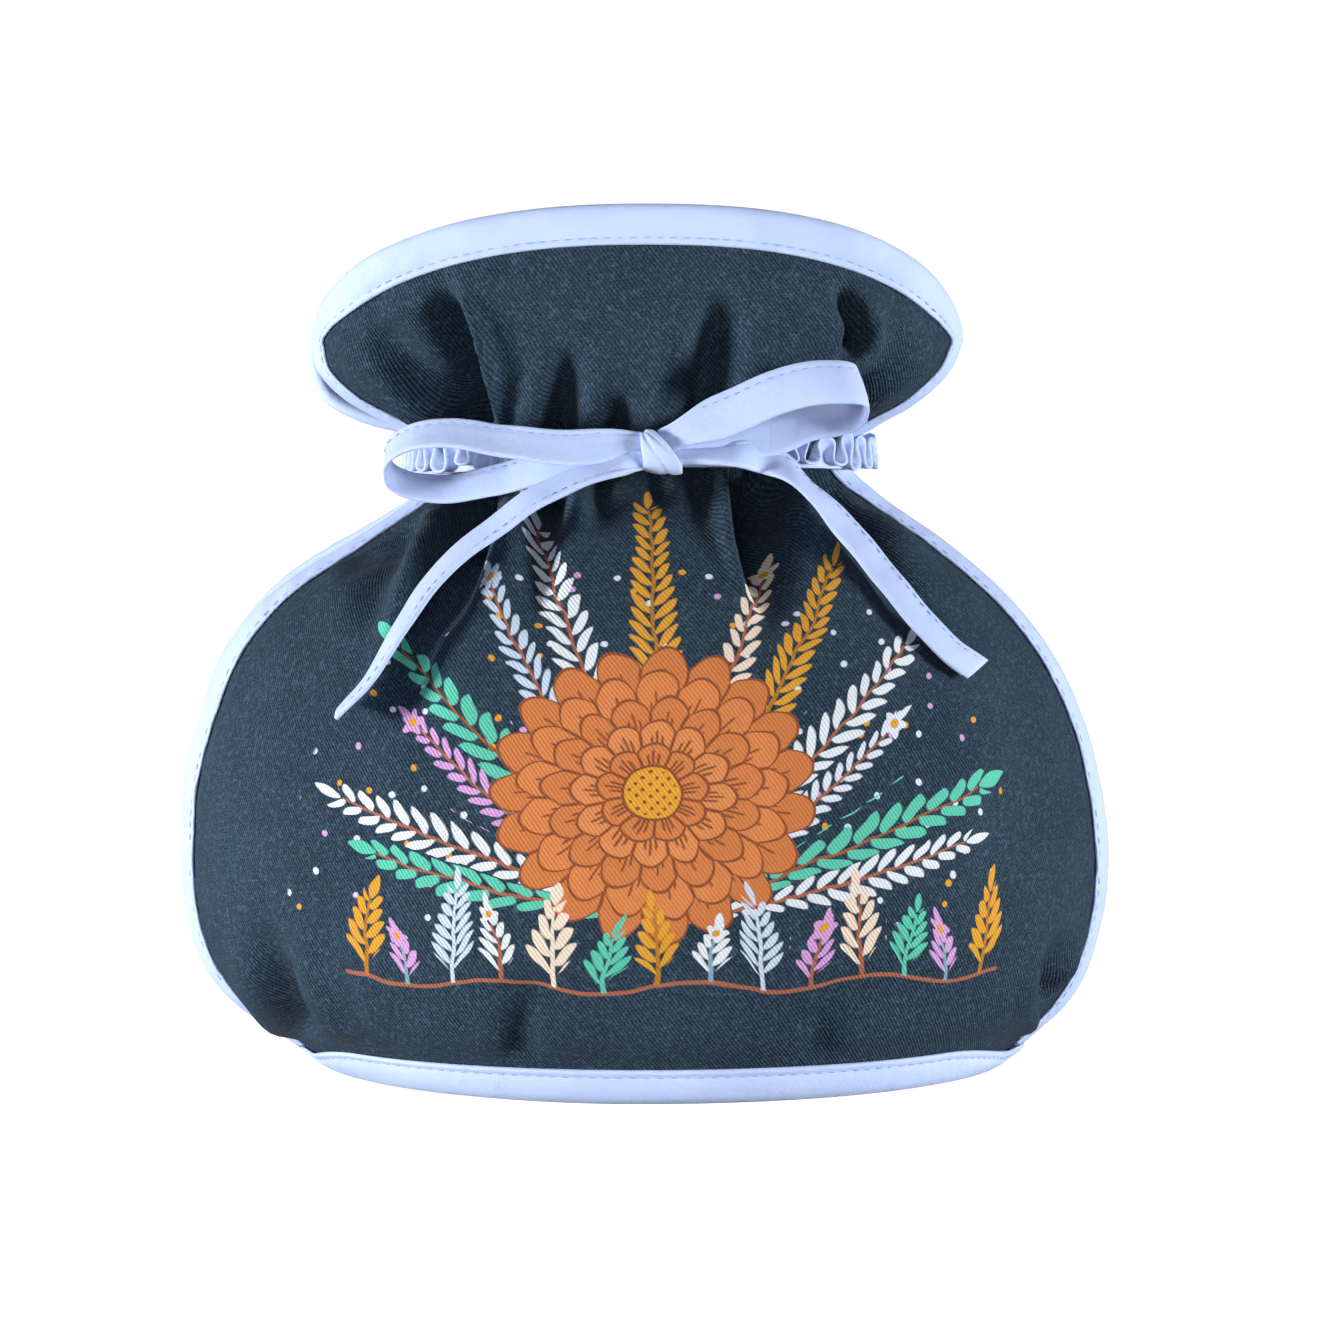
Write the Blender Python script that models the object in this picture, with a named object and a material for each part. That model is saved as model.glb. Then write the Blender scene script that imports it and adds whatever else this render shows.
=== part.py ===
"""Padded tea cosy with a drawn neck, a flared collar, a frill and a tied bow.

It stands on its hem as it hangs on a pot: two padded panels, front and back, are bound
round their edges, drawn together at the neck by a gathered casing and joined at the foot
by a hem band. The sides stay open between neck and hem for a spout and a handle.

Frame: +Z up, the front faces -Y, the spout's side is -X. The origin is on the floor, in
the middle of the footprint. Sizes are millimetres until a mesh is made.
"""

import math
from bisect import bisect_right
from collections import namedtuple

import bmesh
import bpy
from mathutils import Quaternion, Vector
from mathutils.geometry import delaunay_2d_cdt

MM = 0.001

# ---------------------------------------------------------------- driving sizes
MIDDLE_X = -0.20  # the footprint's middle, from the middle of the front
NECK_HEIGHT = 145.0
CORNER_HEIGHT = 172.0  # the collar's two ears
TOP_HEIGHT = 202.8  # of the cloth, inside its binding
ARCH_POWER_LEFT = 2.3  # of the curve over the collar; 2 is an ellipse and more is squarer
ARCH_POWER_RIGHT = 2.5
FOOT_HEIGHT = 2.0  # of the cloth, inside the hem band
BAND_HEIGHT = 9.0
BAND_END_HEIGHT = 4.5  # at the sides, where the cloth leans out over the band
BAND_DIP = (0.55, 0.90)  # the shares of the half width over which its height falls

SEWN_GAP = 0.3  # between the ends of pieces that are sewn together
SLOT_GAP = 0.4  # between a panel and the strip folded over it
BINDING_WIDTH = 8.2
BINDING_WALL = 0.9
EAR_PINCH = 0.3  # the share of its width that a binding loses round an ear
EAR_REACH = 9.0
EDGE_WIDTH = BINDING_WIDTH + 0.6  # of the panel's flat edge, inside its binding
EDGE_THICKNESS = 2.4
EDGE_WRAP = SLOT_GAP + BINDING_WALL  # how far the binding stands outside the cloth
PADDED_THICKNESS = 5.0
NECK_THICKNESS = 3.2
NECK_PRESS_REACH = 12.0  # how far up and down the neck presses the padding
PLUMP_WIDTH = 8.0  # from the binding to full thickness

# One row for each level of the cosy, from hem to ears: the binding's outer edge left and
# right of the middle, how far the panel stands out in front, how round its plan is (the
# radius of the arc round the pot over the half width), and half the opening between the
# panels' edges at the spout's and the handle's side.
Level = namedtuple("Level", "height left right depth roundness spout_gap handle_gap")
LEVELS = [
    Level(FOOT_HEIGHT, 79.4, 88.4, 72.5, 0.98, 2.8, 2.8),
    Level(7.0, 88.2, 94.0, 74.0, 0.95, 2.8, 2.8),
    Level(13.0, 97.6, 100.8, 76.5, 0.925, 2.8, 2.9),
    Level(20.0, 104.3, 105.5, 79.0, 0.935, 2.9, 3.2),
    Level(29.0, 108.5, 108.4, 81.0, 0.95, 3.1, 4.2),
    Level(40.0, 110.7, 110.4, 82.0, 0.955, 3.8, 6.2),
    Level(53.0, 111.2, 110.6, 82.0, 0.95, 5.2, 7.6),
    Level(68.0, 109.8, 108.4, 80.5, 0.95, 8.0, 7.2),
    Level(83.0, 105.6, 104.1, 77.0, 0.95, 12.0, 6.8),
    Level(98.0, 99.6, 96.6, 71.0, 0.95, 15.5, 7.6),
    Level(111.0, 89.2, 86.1, 62.5, 0.95, 15.0, 8.4),
    Level(123.0, 71.0, 72.2, 53.4, 0.95, 10.5, 7.0),
    Level(133.0, 56.0, 57.8, 44.0, 0.95, 5.0, 4.0),
    Level(139.5, 50.8, 50.4, 35.6, 0.92, 3.0, 3.0),
    Level(NECK_HEIGHT, 48.4, 47.8, 32.0, 0.90, 2.8, 2.8),
    Level(150.0, 52.2, 51.0, 33.2, 0.93, 3.2, 3.0),
    Level(154.0, 62.0, 57.2, 34.8, 0.96, 4.4, 3.6),
    Level(159.0, 71.2, 65.6, 36.4, 0.975, 6.0, 4.6),
    Level(165.5, 77.6, 72.4, 38.0, 0.98, 7.4, 5.6),
    Level(CORNER_HEIGHT, 79.0, 75.4, 39.0, 0.975, 8.4, 6.4),
]
# How much further out the back panel's edges stand than the front one's.
Spread = namedtuple("Spread", "height left right")
BACK_SPREAD = [
    Spread(70.0, 0.0, -0.6),
    Spread(88.0, 2.2, -0.8),
    Spread(108.0, 1.4, -0.8),
    Spread(119.0, 2.6, -0.6),
    Spread(127.0, 1.4, -0.4),
    Spread(139.5, 0.0, 0.0),
    Spread(149.0, 0.0, 0.0),
    Spread(151.5, 0.6, 0.0),
    Spread(154.5, 5.6, 0.0),
    Spread(158.0, 6.6, -0.8),
    Spread(165.5, 2.8, -1.6),
    Spread(CORNER_HEIGHT, 1.2, -2.0),
]

# The gathers that the drawn neck presses into a panel. Places are shares of the cloth's
# half width, -1 at the spout's edge and 1 at the handle's; a drift is the change of place
# for each 50 mm away from the neck.
Gather = namedtuple("Gather", "place depth width reach_up reach_down drift_up drift_down")
FRONT_GATHERS = [
    Gather(-0.62, 5.0, 4.0, 18.0, 34.0, -0.05, 0.02),
    Gather(-0.44, 8.0, 4.4, 46.0, 22.0, 0.04, 0.00),
    Gather(-0.24, 7.5, 4.4, 22.0, 58.0, 0.02, 0.06),
    Gather(0.02, 3.0, 4.0, 14.0, 14.0, 0.00, 0.00),
    Gather(0.28, 9.0, 4.6, 46.0, 54.0, -0.12, -0.04),
    Gather(0.50, 7.0, 4.4, 42.0, 28.0, 0.02, 0.00),
    Gather(0.66, 5.6, 4.2, 16.0, 50.0, 0.00, -0.14),
]
BACK_GATHERS = [
    Gather(-0.60, 6.0, 4.4, 26.0, 40.0, -0.04, -0.05),
    Gather(-0.38, 7.0, 4.4, 40.0, 26.0, 0.03, 0.00),
    Gather(-0.14, 8.0, 4.6, 26.0, 54.0, 0.03, 0.02),
    Gather(0.12, 6.0, 4.4, 44.0, 32.0, -0.02, 0.03),
    Gather(0.36, 8.0, 4.6, 28.0, 56.0, 0.02, 0.05),
    Gather(0.60, 6.4, 4.4, 42.0, 36.0, 0.05, 0.02),
]
# The creases where the panel's foot is eased into the hem band.
Crease = namedtuple("Crease", "place depth width reach")
FRONT_CREASES = [
    Crease(-0.80, 4.0, 5.0, 20.0),
    Crease(-0.24, 1.6, 4.0, 12.0),
    Crease(0.84, 3.0, 5.0, 12.0),
]
BACK_CREASES = [
    Crease(-0.82, 3.0, 5.0, 14.0),
    Crease(0.30, 1.8, 4.4, 14.0),
    Crease(0.80, 4.0, 5.0, 18.0),
]
DRIFT_HEIGHT = 50.0
GATHER_SPREAD = 0.10  # how much wider a gather gets with each mm away from the neck
RIDGE_SHARE = 0.15  # the cloth rises beside a gather by this share of its depth
RIDGE_PLACE = 2.1  # in widths of the gather
CREASE_HEIGHT = 5.0  # where a crease is deepest, above the hem band
FOLD_FADE = 9.0  # folds fade out over this distance before the binding
FOOT_FADE = (0.5, 6.0)  # and over these heights above the hem band
FOOT_PLUMP = (0.5, 7.0)  # the heights over which the padding comes to full thickness

# ---------------------------------------------------------------- how finely it is made
BODY_STEP = 8.6
NECK_STEP = 4.4
NECK_REACH = 12.0  # above and below the neck, and below the ears, the finer step holds
ARCH_STEPS = 22
EAR_START = 2.0  # the last station of a side edge is this far below the ear
COLUMNS = 25
INTERIOR_CLEARANCE = 4.2  # from a place inside a panel to its border
SLOPE_STEP = 0.4


class Spline:
    """A smooth curve through numbers given at rising places."""

    def __init__(self, places, values):
        """Works out a slope at each place from its neighbours."""
        self.places, self.values = list(places), list(values)
        last = len(self.places) - 1
        self.slopes = []
        for i in range(last + 1):
            a, b = max(i - 1, 0), min(i + 1, last)
            rise = self.values[b] - self.values[a]
            self.slopes.append(rise / (self.places[b] - self.places[a]))

    def __call__(self, place):
        """The value at a place; past either end it runs on level."""
        place = min(max(place, self.places[0]), self.places[-1])
        i = min(bisect_right(self.places, place) - 1, len(self.places) - 2)
        step = self.places[i + 1] - self.places[i]
        t = (place - self.places[i]) / step
        return (
            (2 * t**3 - 3 * t**2 + 1) * self.values[i]
            + (t**3 - 2 * t**2 + t) * step * self.slopes[i]
            + (3 * t**2 - 2 * t**3) * self.values[i + 1]
            + (t**3 - t**2) * step * self.slopes[i + 1]
        )


def columns_of(rows):
    """A spline over height for each other column of a table."""
    heights = [row.height for row in rows]
    return {
        name: Spline(heights, [getattr(row, name) for row in rows])
        for name in rows[0]._fields[1:]
    }


PROFILE = columns_of(LEVELS)
BACK_EXTRA = columns_of(BACK_SPREAD)


def smooth_step(x, low, high):
    """0 below low, 1 above high, and a smooth rise between."""
    t = min(max((x - low) / (high - low), 0.0), 1.0)
    return t * t * (3 - 2 * t)


def edge_gap(height, side):
    """From the middle plane to a panel's edge, on the spout's or handle's side."""
    return PROFILE["spout_gap" if side < 0 else "handle_gap"](height)


def seam_height(share):
    """The hem band's upper edge, which dips towards the sides."""
    dip = smooth_step(abs(share), *BAND_DIP)
    return BAND_HEIGHT + (BAND_END_HEIGHT - BAND_HEIGHT) * dip


# ---------------------------------------------------------------- plan of the wrapped cloth
# The cloth goes round the pot on an arc and leaves it on a straight run to its bound edge.
# Across is 0 in the middle and 1 at the edge; a share is the same along the cloth.
def wrap_length(roundness):
    """The cloth from the middle to the edge, for a half width of 1."""
    return roundness * math.asin(roundness) + math.sqrt(1 - roundness**2)


def wrap_across(share, roundness):
    """How far across a share of the cloth reaches."""
    along = abs(share) * wrap_length(roundness)
    arc = roundness * math.asin(roundness)
    if along < arc:
        return roundness * math.sin(along / roundness)
    return roundness**2 + (along - arc) * math.sqrt(1 - roundness**2)


def wrap_share(across, roundness):
    """The share of the cloth at a place across: wrap_across undone."""
    if across < roundness**2:
        along = roundness * math.asin(across / roundness)
    else:
        straight = (across - roundness**2) / math.sqrt(1 - roundness**2)
        along = roundness * math.asin(roundness) + straight
    return along / wrap_length(roundness)


def wrap_depth(across, roundness):
    """How far forward the cloth stands, from 1 in the middle to 0 at its edge."""
    if across < roundness**2:
        return math.sqrt(roundness**2 - across**2) / roundness
    return (1 - across) / math.sqrt(1 - roundness**2)


class Panel:
    """A padded panel as a height field: how far it stands out at each x and z."""

    def __init__(self, name, facing, gathers, creases):
        """Facing is -1 for the front panel and 1 for the back one."""
        self.name, self.facing = name, facing
        self.gathers, self.creases = gathers, creases
        self.rim = []

    def half_width(self, z, side):
        """From the middle to the cloth's own edge, on the spout's (-1) or handle's side."""
        name = "left" if side < 0 else "right"
        extra = BACK_EXTRA[name](z) if self.facing > 0 else 0.0
        return PROFILE[name](z) + extra - EDGE_WRAP

    def smooth_y(self, x, z):
        """The panel's middle surface without its folds."""
        side = -1 if x < 0 else 1
        gap = edge_gap(z, side)
        forward = wrap_depth(abs(x) / self.half_width(z, side), PROFILE["roundness"](z))
        return self.facing * (gap + (PROFILE["depth"](z) - gap) * forward)

    def normal(self, x, z):
        """The unit vector out of the smooth surface, away from the pot."""
        step = SLOPE_STEP
        slope_x = (self.smooth_y(x + step, z) - self.smooth_y(x - step, z)) / (2 * step)
        slope_z = (self.smooth_y(x, z + step) - self.smooth_y(x, z - step)) / (2 * step)
        return (Vector((-slope_x, 1.0, -slope_z)) * self.facing).normalized()

    def point(self, x, z, out=0.0):
        """A point of the smooth surface, that far out along its normal."""
        return Vector((x, self.smooth_y(x, z), z)) + self.normal(x, z) * out

    def place(self, share, z):
        """The x of a share of the cloth at a height."""
        side = -1 if share < 0 else 1
        return side * wrap_across(share, PROFILE["roundness"](z)) * self.half_width(z, side)

    def share(self, x, z):
        """The place across the cloth, -1 at the spout's edge and 1 at the handle's."""
        side = -1 if x < 0 else 1
        return side * wrap_share(abs(x) / self.half_width(z, side), PROFILE["roundness"](z))

    def cloth_length(self, z, side):
        """The length of cloth from the middle to one edge, about."""
        roundness = PROFILE["roundness"](z)
        wide, deep = self.half_width(z, side), PROFILE["depth"](z) / roundness
        return wide * wrap_length(roundness) * math.sqrt((1 + (deep / wide) ** 2) / 2)

    def from_edge(self, point):
        """How far a point is from the panel's side and top edges."""
        return min((point - p).length for p in self.rim)

    def fold(self, x, z, from_edge):
        """How far the folds press the cloth in (below 0) or let it rise."""
        side = -1 if x < 0 else 1
        place, length = self.share(x, z), self.cloth_length(z, side)
        above = z - NECK_HEIGHT
        total = 0.0
        for g in self.gathers:
            up = above > 0
            reach, drift = (g.reach_up, g.drift_up) if up else (g.reach_down, g.drift_down)
            centre = g.place + drift * abs(above) / DRIFT_HEIGHT
            off = (place - centre) * length / (g.width + GATHER_SPREAD * abs(above))
            strength = math.exp(-((above / reach) ** 2))
            ridge = RIDGE_SHARE * math.exp(-((abs(off) - RIDGE_PLACE) ** 2))
            total += g.depth * strength * (ridge - math.exp(-off * off))
        above_seam = z - seam_height(place)
        for c in self.creases:
            off = (place - c.place) * length / c.width
            strength = math.exp(-(((above_seam - CREASE_HEIGHT) / c.reach) ** 2))
            total -= c.depth * strength * math.exp(-off * off)
        fade = smooth_step(above_seam, *FOOT_FADE)
        return total * fade * smooth_step(from_edge, EDGE_WIDTH, EDGE_WIDTH + FOLD_FADE)

    def thickness(self, x, z, from_edge):
        """Of the padded cloth, pinched in its strips and pressed at the neck."""
        press = math.exp(-(((z - NECK_HEIGHT) / NECK_PRESS_REACH) ** 2))
        full = PADDED_THICKNESS - (PADDED_THICKNESS - NECK_THICKNESS) * press
        plump = smooth_step(from_edge, EDGE_WIDTH, EDGE_WIDTH + PLUMP_WIDTH)
        foot = smooth_step(z - seam_height(self.share(x, z)), *FOOT_PLUMP)
        return EDGE_THICKNESS + (full - EDGE_THICKNESS) * plump * foot


# ---------------------------------------------------------------- outline
# Stations along a panel's side and top edges: the cloth's edge and its normal, and the
# inner end of its flat edge strip and the normal there.
Station = namedtuple("Station", "edge normal inner inner_normal inner_place")


def side_heights(panel, side):
    """Heights up a side edge, from the hem band to below the ear."""
    heights, z = [], BAND_END_HEIGHT
    while z < CORNER_HEIGHT - EAR_START:
        heights.append(z)
        fine = abs(z - NECK_HEIGHT) < NECK_REACH or z > CORNER_HEIGHT - NECK_REACH
        slope = (panel.half_width(z + 1.0, side) - panel.half_width(z - 1.0, side)) / 2.0
        z += (NECK_STEP if fine else BODY_STEP) / math.sqrt(1 + slope**2)
    return heights


def arch_height(panel, x):
    """The collar's top edge, a squarish half ellipse from ear to ear."""
    side, power = (-1, ARCH_POWER_LEFT) if x < 0 else (1, ARCH_POWER_RIGHT)
    across = min(1.0, abs(x) / panel.half_width(CORNER_HEIGHT, side))
    return CORNER_HEIGHT + (TOP_HEIGHT - CORNER_HEIGHT) * math.sqrt(1 - across**power)


def outline(panel):
    """The side and top edges as (x, z), up the spout's side, over and down."""
    up = [(-panel.half_width(z, -1), z) for z in side_heights(panel, -1)]
    over = []
    for i in range(ARCH_STEPS + 1):
        turn = math.pi * i / ARCH_STEPS
        wide = panel.half_width(CORNER_HEIGHT, -1 if turn < math.pi / 2 else 1)
        x = -wide * math.cos(turn)
        over.append((x, arch_height(panel, x)))
    down = [(panel.half_width(z, 1), z) for z in side_heights(panel, 1)[::-1]]
    return up + over + down


def stations(panel):
    """The stations of a panel's outline."""
    places = outline(panel)
    edges = [panel.point(x, z) for x, z in places]
    made = []
    for i, (x, z) in enumerate(places):
        normal = panel.normal(x, z)
        if i in (0, len(places) - 1):
            level = Vector((0.0, 0.0, 1.0)).cross(normal)
            inward = level.normalized() * math.copysign(1.0, -x * level.x)
        else:
            along = edges[i + 1] - edges[i - 1]
            inward = normal.cross(along).normalized() * panel.facing
        pinch = EAR_PINCH * math.exp(-(((z - CORNER_HEIGHT) / EAR_REACH) ** 2))
        reach = EDGE_WIDTH * (1 - pinch)
        inner = (x + inward.x * reach, z + inward.z * reach)
        made.append(Station(edges[i], normal, panel.point(*inner), panel.normal(*inner), inner))
    return made


# ---------------------------------------------------------------- meshes
def fabric(name, colour, roughness):
    """A plain cloth material."""
    material = bpy.data.materials.new(name)
    material.use_nodes = True
    shader = material.node_tree.nodes["Principled BSDF"]
    shader.inputs["Base Color"].default_value = (*colour, 1.0)
    shader.inputs["Roughness"].default_value = roughness
    shader.inputs["Metallic"].default_value = 0.0
    return material


def add_object(name, bm, material):
    """The bmesh as an object with its faces pointing out."""
    bmesh.ops.recalc_face_normals(bm, faces=bm.faces)
    bmesh.ops.translate(bm, vec=Vector((-MIDDLE_X, 0.0, 0.0)), verts=bm.verts)
    bmesh.ops.scale(bm, vec=Vector((MM, MM, MM)), verts=bm.verts)
    mesh = bpy.data.meshes.new(name)
    bm.to_mesh(mesh)
    bm.free()
    mesh.materials.append(material)
    mesh.shade_smooth()
    mesh.set_sharp_from_angle(angle=math.radians(40))
    made = bpy.data.objects.new(name, mesh)
    bpy.context.scene.collection.objects.link(made)
    return made


def closed_tube(sections, ring=False, turned=()):
    """A bmesh of equal sections joined in a row, with both ends closed, or in a ring.

    Each four-sided face is split from its near first corner to its far second one, and on
    the turned sides the other way.
    """
    bm = bmesh.new()
    rings = [[bm.verts.new(point) for point in section] for section in sections]
    pairs = list(zip(rings, rings[1:]))
    if ring:
        pairs.append((rings[-1], rings[0]))
    for one, other in pairs:
        for i in range(len(one)):
            j = (i + 1) % len(one)
            if i in turned:
                bm.faces.new((one[i], one[j], other[i]))
                bm.faces.new((one[j], other[j], other[i]))
            else:
                bm.faces.new((one[i], one[j], other[j]))
                bm.faces.new((one[i], other[j], other[i]))
    if not ring:
        bm.faces.new(rings[0])
        bm.faces.new(rings[-1])
    return bm


def foot_shares(panel, line):
    """The shares of the columns along a panel's foot, edges and edge strips included."""
    low, high = (panel.share(*line[i].inner_place) for i in (0, -1))
    return [-1.0] + [low + (high - low) * i / COLUMNS for i in range(COLUMNS + 1)] + [1.0]


def interior_places(panel, border):
    """Evenly spread (x, z) places inside the border, clear of it."""
    heights, z = [], BAND_HEIGHT
    while z < CORNER_HEIGHT + BODY_STEP / 2:
        z += NECK_STEP if abs(z - NECK_HEIGHT) < NECK_REACH else BODY_STEP
        heights.append(z)
    clear = [panel.point(x, z) for x, z in border]
    clear += [(one + other) / 2 for one, other in zip(clear, clear[1:] + clear[:1])]
    places = []
    for row, height in enumerate(heights):
        for i in range(1, 2 * COLUMNS):
            if (i + row) % 2:
                continue
            x = panel.place(i / COLUMNS - 1.0, height)
            climb = (height - NECK_HEIGHT) / (CORNER_HEIGHT - NECK_HEIGHT)
            z = height + (arch_height(panel, x) - CORNER_HEIGHT) * max(0.0, climb)
            here = panel.point(x, z)
            nearest = min((here - p).length for p in clear)
            if inside(border, x, z) and nearest > INTERIOR_CLEARANCE:
                places.append((x, z))
    return places


def inside(polygon, x, z):
    """Whether a place lies inside a polygon."""
    within = False
    for (x0, z0), (x1, z1) in zip(polygon, polygon[1:] + polygon[:1]):
        if (z0 > z) != (z1 > z) and x < x0 + (x1 - x0) * (z - z0) / (z1 - z0):
            within = not within
    return within


def build_panel(panel, material):
    """The padded panel: its outer and inner faces, joined round the edge."""
    line = stations(panel)
    ends = [s.edge for s in line]
    panel.rim = ends + [(a + b) / 2 for a, b in zip(ends, ends[1:])]
    shares = foot_shares(panel, line)
    feet = [(panel.place(share, FOOT_HEIGHT), FOOT_HEIGHT) for share in shares]
    seam = []
    for share in shares[2:-2]:
        height = seam_height(share)
        seam.append((panel.place(share, height), height))
    border = [s.inner_place for s in line] + seam[::-1]
    places = border + interior_places(panel, border)
    flat = []
    for x, z in places:
        side = -1 if x < 0 else 1
        flat.append(Vector((panel.share(x, z) * panel.cloth_length(z, side), z)))
    _, _, triangles, origins, _, _ = delaunay_2d_cdt(
        flat, [], [list(range(len(border)))], 1, 1e-4
    )
    edge = [(s.edge.x, s.edge.z) for s in line]
    bm = bmesh.new()
    sheets = {}
    for way in (1, -1):

        def add(x, z, flat_edge=False):
            """A vertex of this face of the cloth."""
            here = panel.point(x, z)
            from_edge = 0.0 if flat_edge else panel.from_edge(here)
            out = panel.fold(x, z, from_edge) + way * panel.thickness(x, z, from_edge) / 2
            return bm.verts.new(panel.point(x, z, out))

        core = [add(x, z, i < len(border)) for i, (x, z) in enumerate(places)]
        rim = [add(x, z, True) for x, z in edge]
        foot = [add(x, z, True) for x, z in feet]
        for triangle in triangles:
            bm.faces.new([core[origins[i][0]] for i in triangle])
        count = len(rim)
        for i in range(count - 1):
            bm.faces.new((rim[i], rim[i + 1], core[i + 1]))
            bm.faces.new((rim[i], core[i + 1], core[i]))
        above = [rim[0], core[0], *core[len(border) - 1:count - 1:-1], core[count - 1], rim[-1]]
        for i in range(len(foot) - 1):
            bm.faces.new((foot[i], foot[i + 1], above[i + 1], above[i]))
        sheets[way] = rim + foot[::-1]
    outer, inner = sheets[1], sheets[-1]
    for i in range(len(outer)):
        j = (i + 1) % len(outer)
        bm.faces.new((outer[i], outer[j], inner[j], inner[i]))
    return add_object(panel.name, bm, material)


STRIP_TURNED = (0, 6)  # the sides of a strip's section that run towards the cloth's edge


def strip_section(start, end, start_normal, end_normal, width, base):
    """A U section folded over cloth from start to end; base is its closed side."""
    run = (end - start).length
    way = (end - start) / run
    inside_out, outside = EDGE_THICKNESS / 2 + SLOT_GAP, EDGE_THICKNESS / 2 + EDGE_WRAP

    def at(distance, out):
        """The point that far from start along the cloth, and out from it."""
        normal = start_normal.lerp(end_normal, min(max(distance / run, 0.0), 1.0))
        return start + way * distance + normal.normalized() * out

    return [
        at(width, outside),
        at(0.0, outside),
        at(-base, outside * 0.5),
        at(-base, -outside * 0.5),
        at(0.0, -outside),
        at(width, -outside),
        at(width, -inside_out),
        at(-SLOT_GAP, -inside_out),
        at(-SLOT_GAP, inside_out),
        at(width, inside_out),
    ]


def build_binding(name, panel, material):
    """The strip folded over the panel's side and top edges, as one U-shaped length."""
    line = stations(panel)
    sections = []
    for i, s in enumerate(line):
        width = (s.inner - s.edge).length * BINDING_WIDTH / EDGE_WIDTH
        section = strip_section(s.edge, s.inner, s.normal, s.inner_normal, width, EDGE_WRAP)
        if i in (0, len(line) - 1):
            neighbour = line[1 if i == 0 else -2]
            up = (neighbour.edge - s.edge).normalized()
            section = [p + up * SEWN_GAP for p in section]
        sections.append(section)
    return add_object(name, closed_tube(sections, turned=STRIP_TURNED), material)


def build_hem_band(front, back, material):
    """The wide strip folded under both panels' feet, as one ring that stands flat."""
    sections = []
    for panel, turn in ((front, 1), (back, -1)):
        for share in foot_shares(panel, stations(panel))[::turn]:
            height = seam_height(share)
            low = (panel.place(share, FOOT_HEIGHT), FOOT_HEIGHT)
            high = (panel.place(share, height), height)
            start, end = panel.point(*low), panel.point(*high)
            section = strip_section(
                start, end, panel.normal(*low), panel.normal(*high),
                (end - start).length, FOOT_HEIGHT,
            )
            for point in section[2:4]:
                point.z = 0.0
            sections.append(section)
    return add_object("hem_band", closed_tube(sections, ring=True), material)


# ---------------------------------------------------------------- neck frill
FRILL_WAVES = 50
STEPS_IN_A_WAVE = 4
FRILL_THICKNESS = 1.4
FRILL_ROUNDNESS = 0.97  # of its plan, as a panel's
FRILL_CORNERS = 40  # on each quarter of its middle line, before that is spaced evenly
FRILL_SMOOTHING = 3  # its outward directions are taken over this many steps each way
# One row for each level of the frill: its height, how far its middle line stands outside
# the cloth's edge and face, how far its waves swing out, and how far they droop there.
FrillLevel = namedtuple("FrillLevel", "height beside before swing droop")
FRILL_LEVELS = [
    FrillLevel(NECK_HEIGHT - 4.0, 5.8, 7.8, 0.9, 0.2),
    FrillLevel(NECK_HEIGHT - 0.9, 6.4, 8.5, 1.3, 0.7),
    FrillLevel(NECK_HEIGHT + 1.4, 8.6, 9.4, 1.8, 1.2),
]
FRILL_SIDES = {-1: 1.1, 1: 0.8}  # how much wider it stands at the spout's and handle's side
FRILL_LIFT = 2.2  # how much higher it runs across the front and the back than at the sides


def neck_loop(level, panels, steps):
    """The frill's middle line at one level, evenly spaced, as (point, outward) pairs."""
    corners = []
    for panel in panels:
        half = []
        for i in range(-FRILL_CORNERS, FRILL_CORNERS + 1):
            side = -1 if i < 0 else 1
            across = wrap_across(i / FRILL_CORNERS, FRILL_ROUNDNESS)
            wide = panel.half_width(level.height, side) + level.beside * FRILL_SIDES[side]
            deep = PROFILE["depth"](level.height) + level.before
            gap = edge_gap(level.height, side)
            y = gap + (deep - gap) * wrap_depth(across, FRILL_ROUNDNESS)
            half.append(Vector((side * wide * across, panel.facing * y)))
        corners += half if panel.facing < 0 else half[::-1]
    corners.append(corners[0])
    lengths = [0.0]
    for one, other in zip(corners, corners[1:]):
        lengths.append(lengths[-1] + (other - one).length)
    points = []
    for k in range(steps):
        along = lengths[-1] * k / steps
        i = min(bisect_right(lengths, along) - 1, len(corners) - 2)
        t = (along - lengths[i]) / (lengths[i + 1] - lengths[i])
        points.append(corners[i].lerp(corners[i + 1], t))
    loop = []
    for k, point in enumerate(points):
        ahead = points[(k + FRILL_SMOOTHING) % steps] - points[k - FRILL_SMOOTHING]
        loop.append((point, Vector((ahead.y, -ahead.x)).normalized()))
    return loop


def build_frill(panels, material):
    """The gathered casing round the neck: one ring whose wall runs in small waves."""
    steps = FRILL_WAVES * STEPS_IN_A_WAVE
    loops = [neck_loop(level, panels, steps) for level in FRILL_LEVELS]
    sections = []
    for k in range(steps):
        wave = math.cos(2 * math.pi * k / STEPS_IN_A_WAVE)
        outer, inner = [], []
        for level, loop in zip(FRILL_LEVELS, loops):
            point, outward = loop[k]
            for face, way in ((outer, 1), (inner, -1)):
                place = point + outward * (level.swing * wave + way * FRILL_THICKNESS / 2)
                height = level.height + FRILL_LIFT * outward.y**2 - level.droop * wave
                face.append(Vector((place.x, place.y, height)))
        sections.append(outer + inner[::-1])
    return add_object("neck_frill", closed_tube(sections, ring=True), material)


# ---------------------------------------------------------------- tied bow
RIBBON_WIDTH = 9.0
RIBBON_THICKNESS = 1.2
RIBBON_STEPS = 26
KNOT_CENTRE = Vector((3.2, -48.6, 147.4))
KNOT_SIZE = Vector((9.0, 9.4, 10.8))
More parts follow.
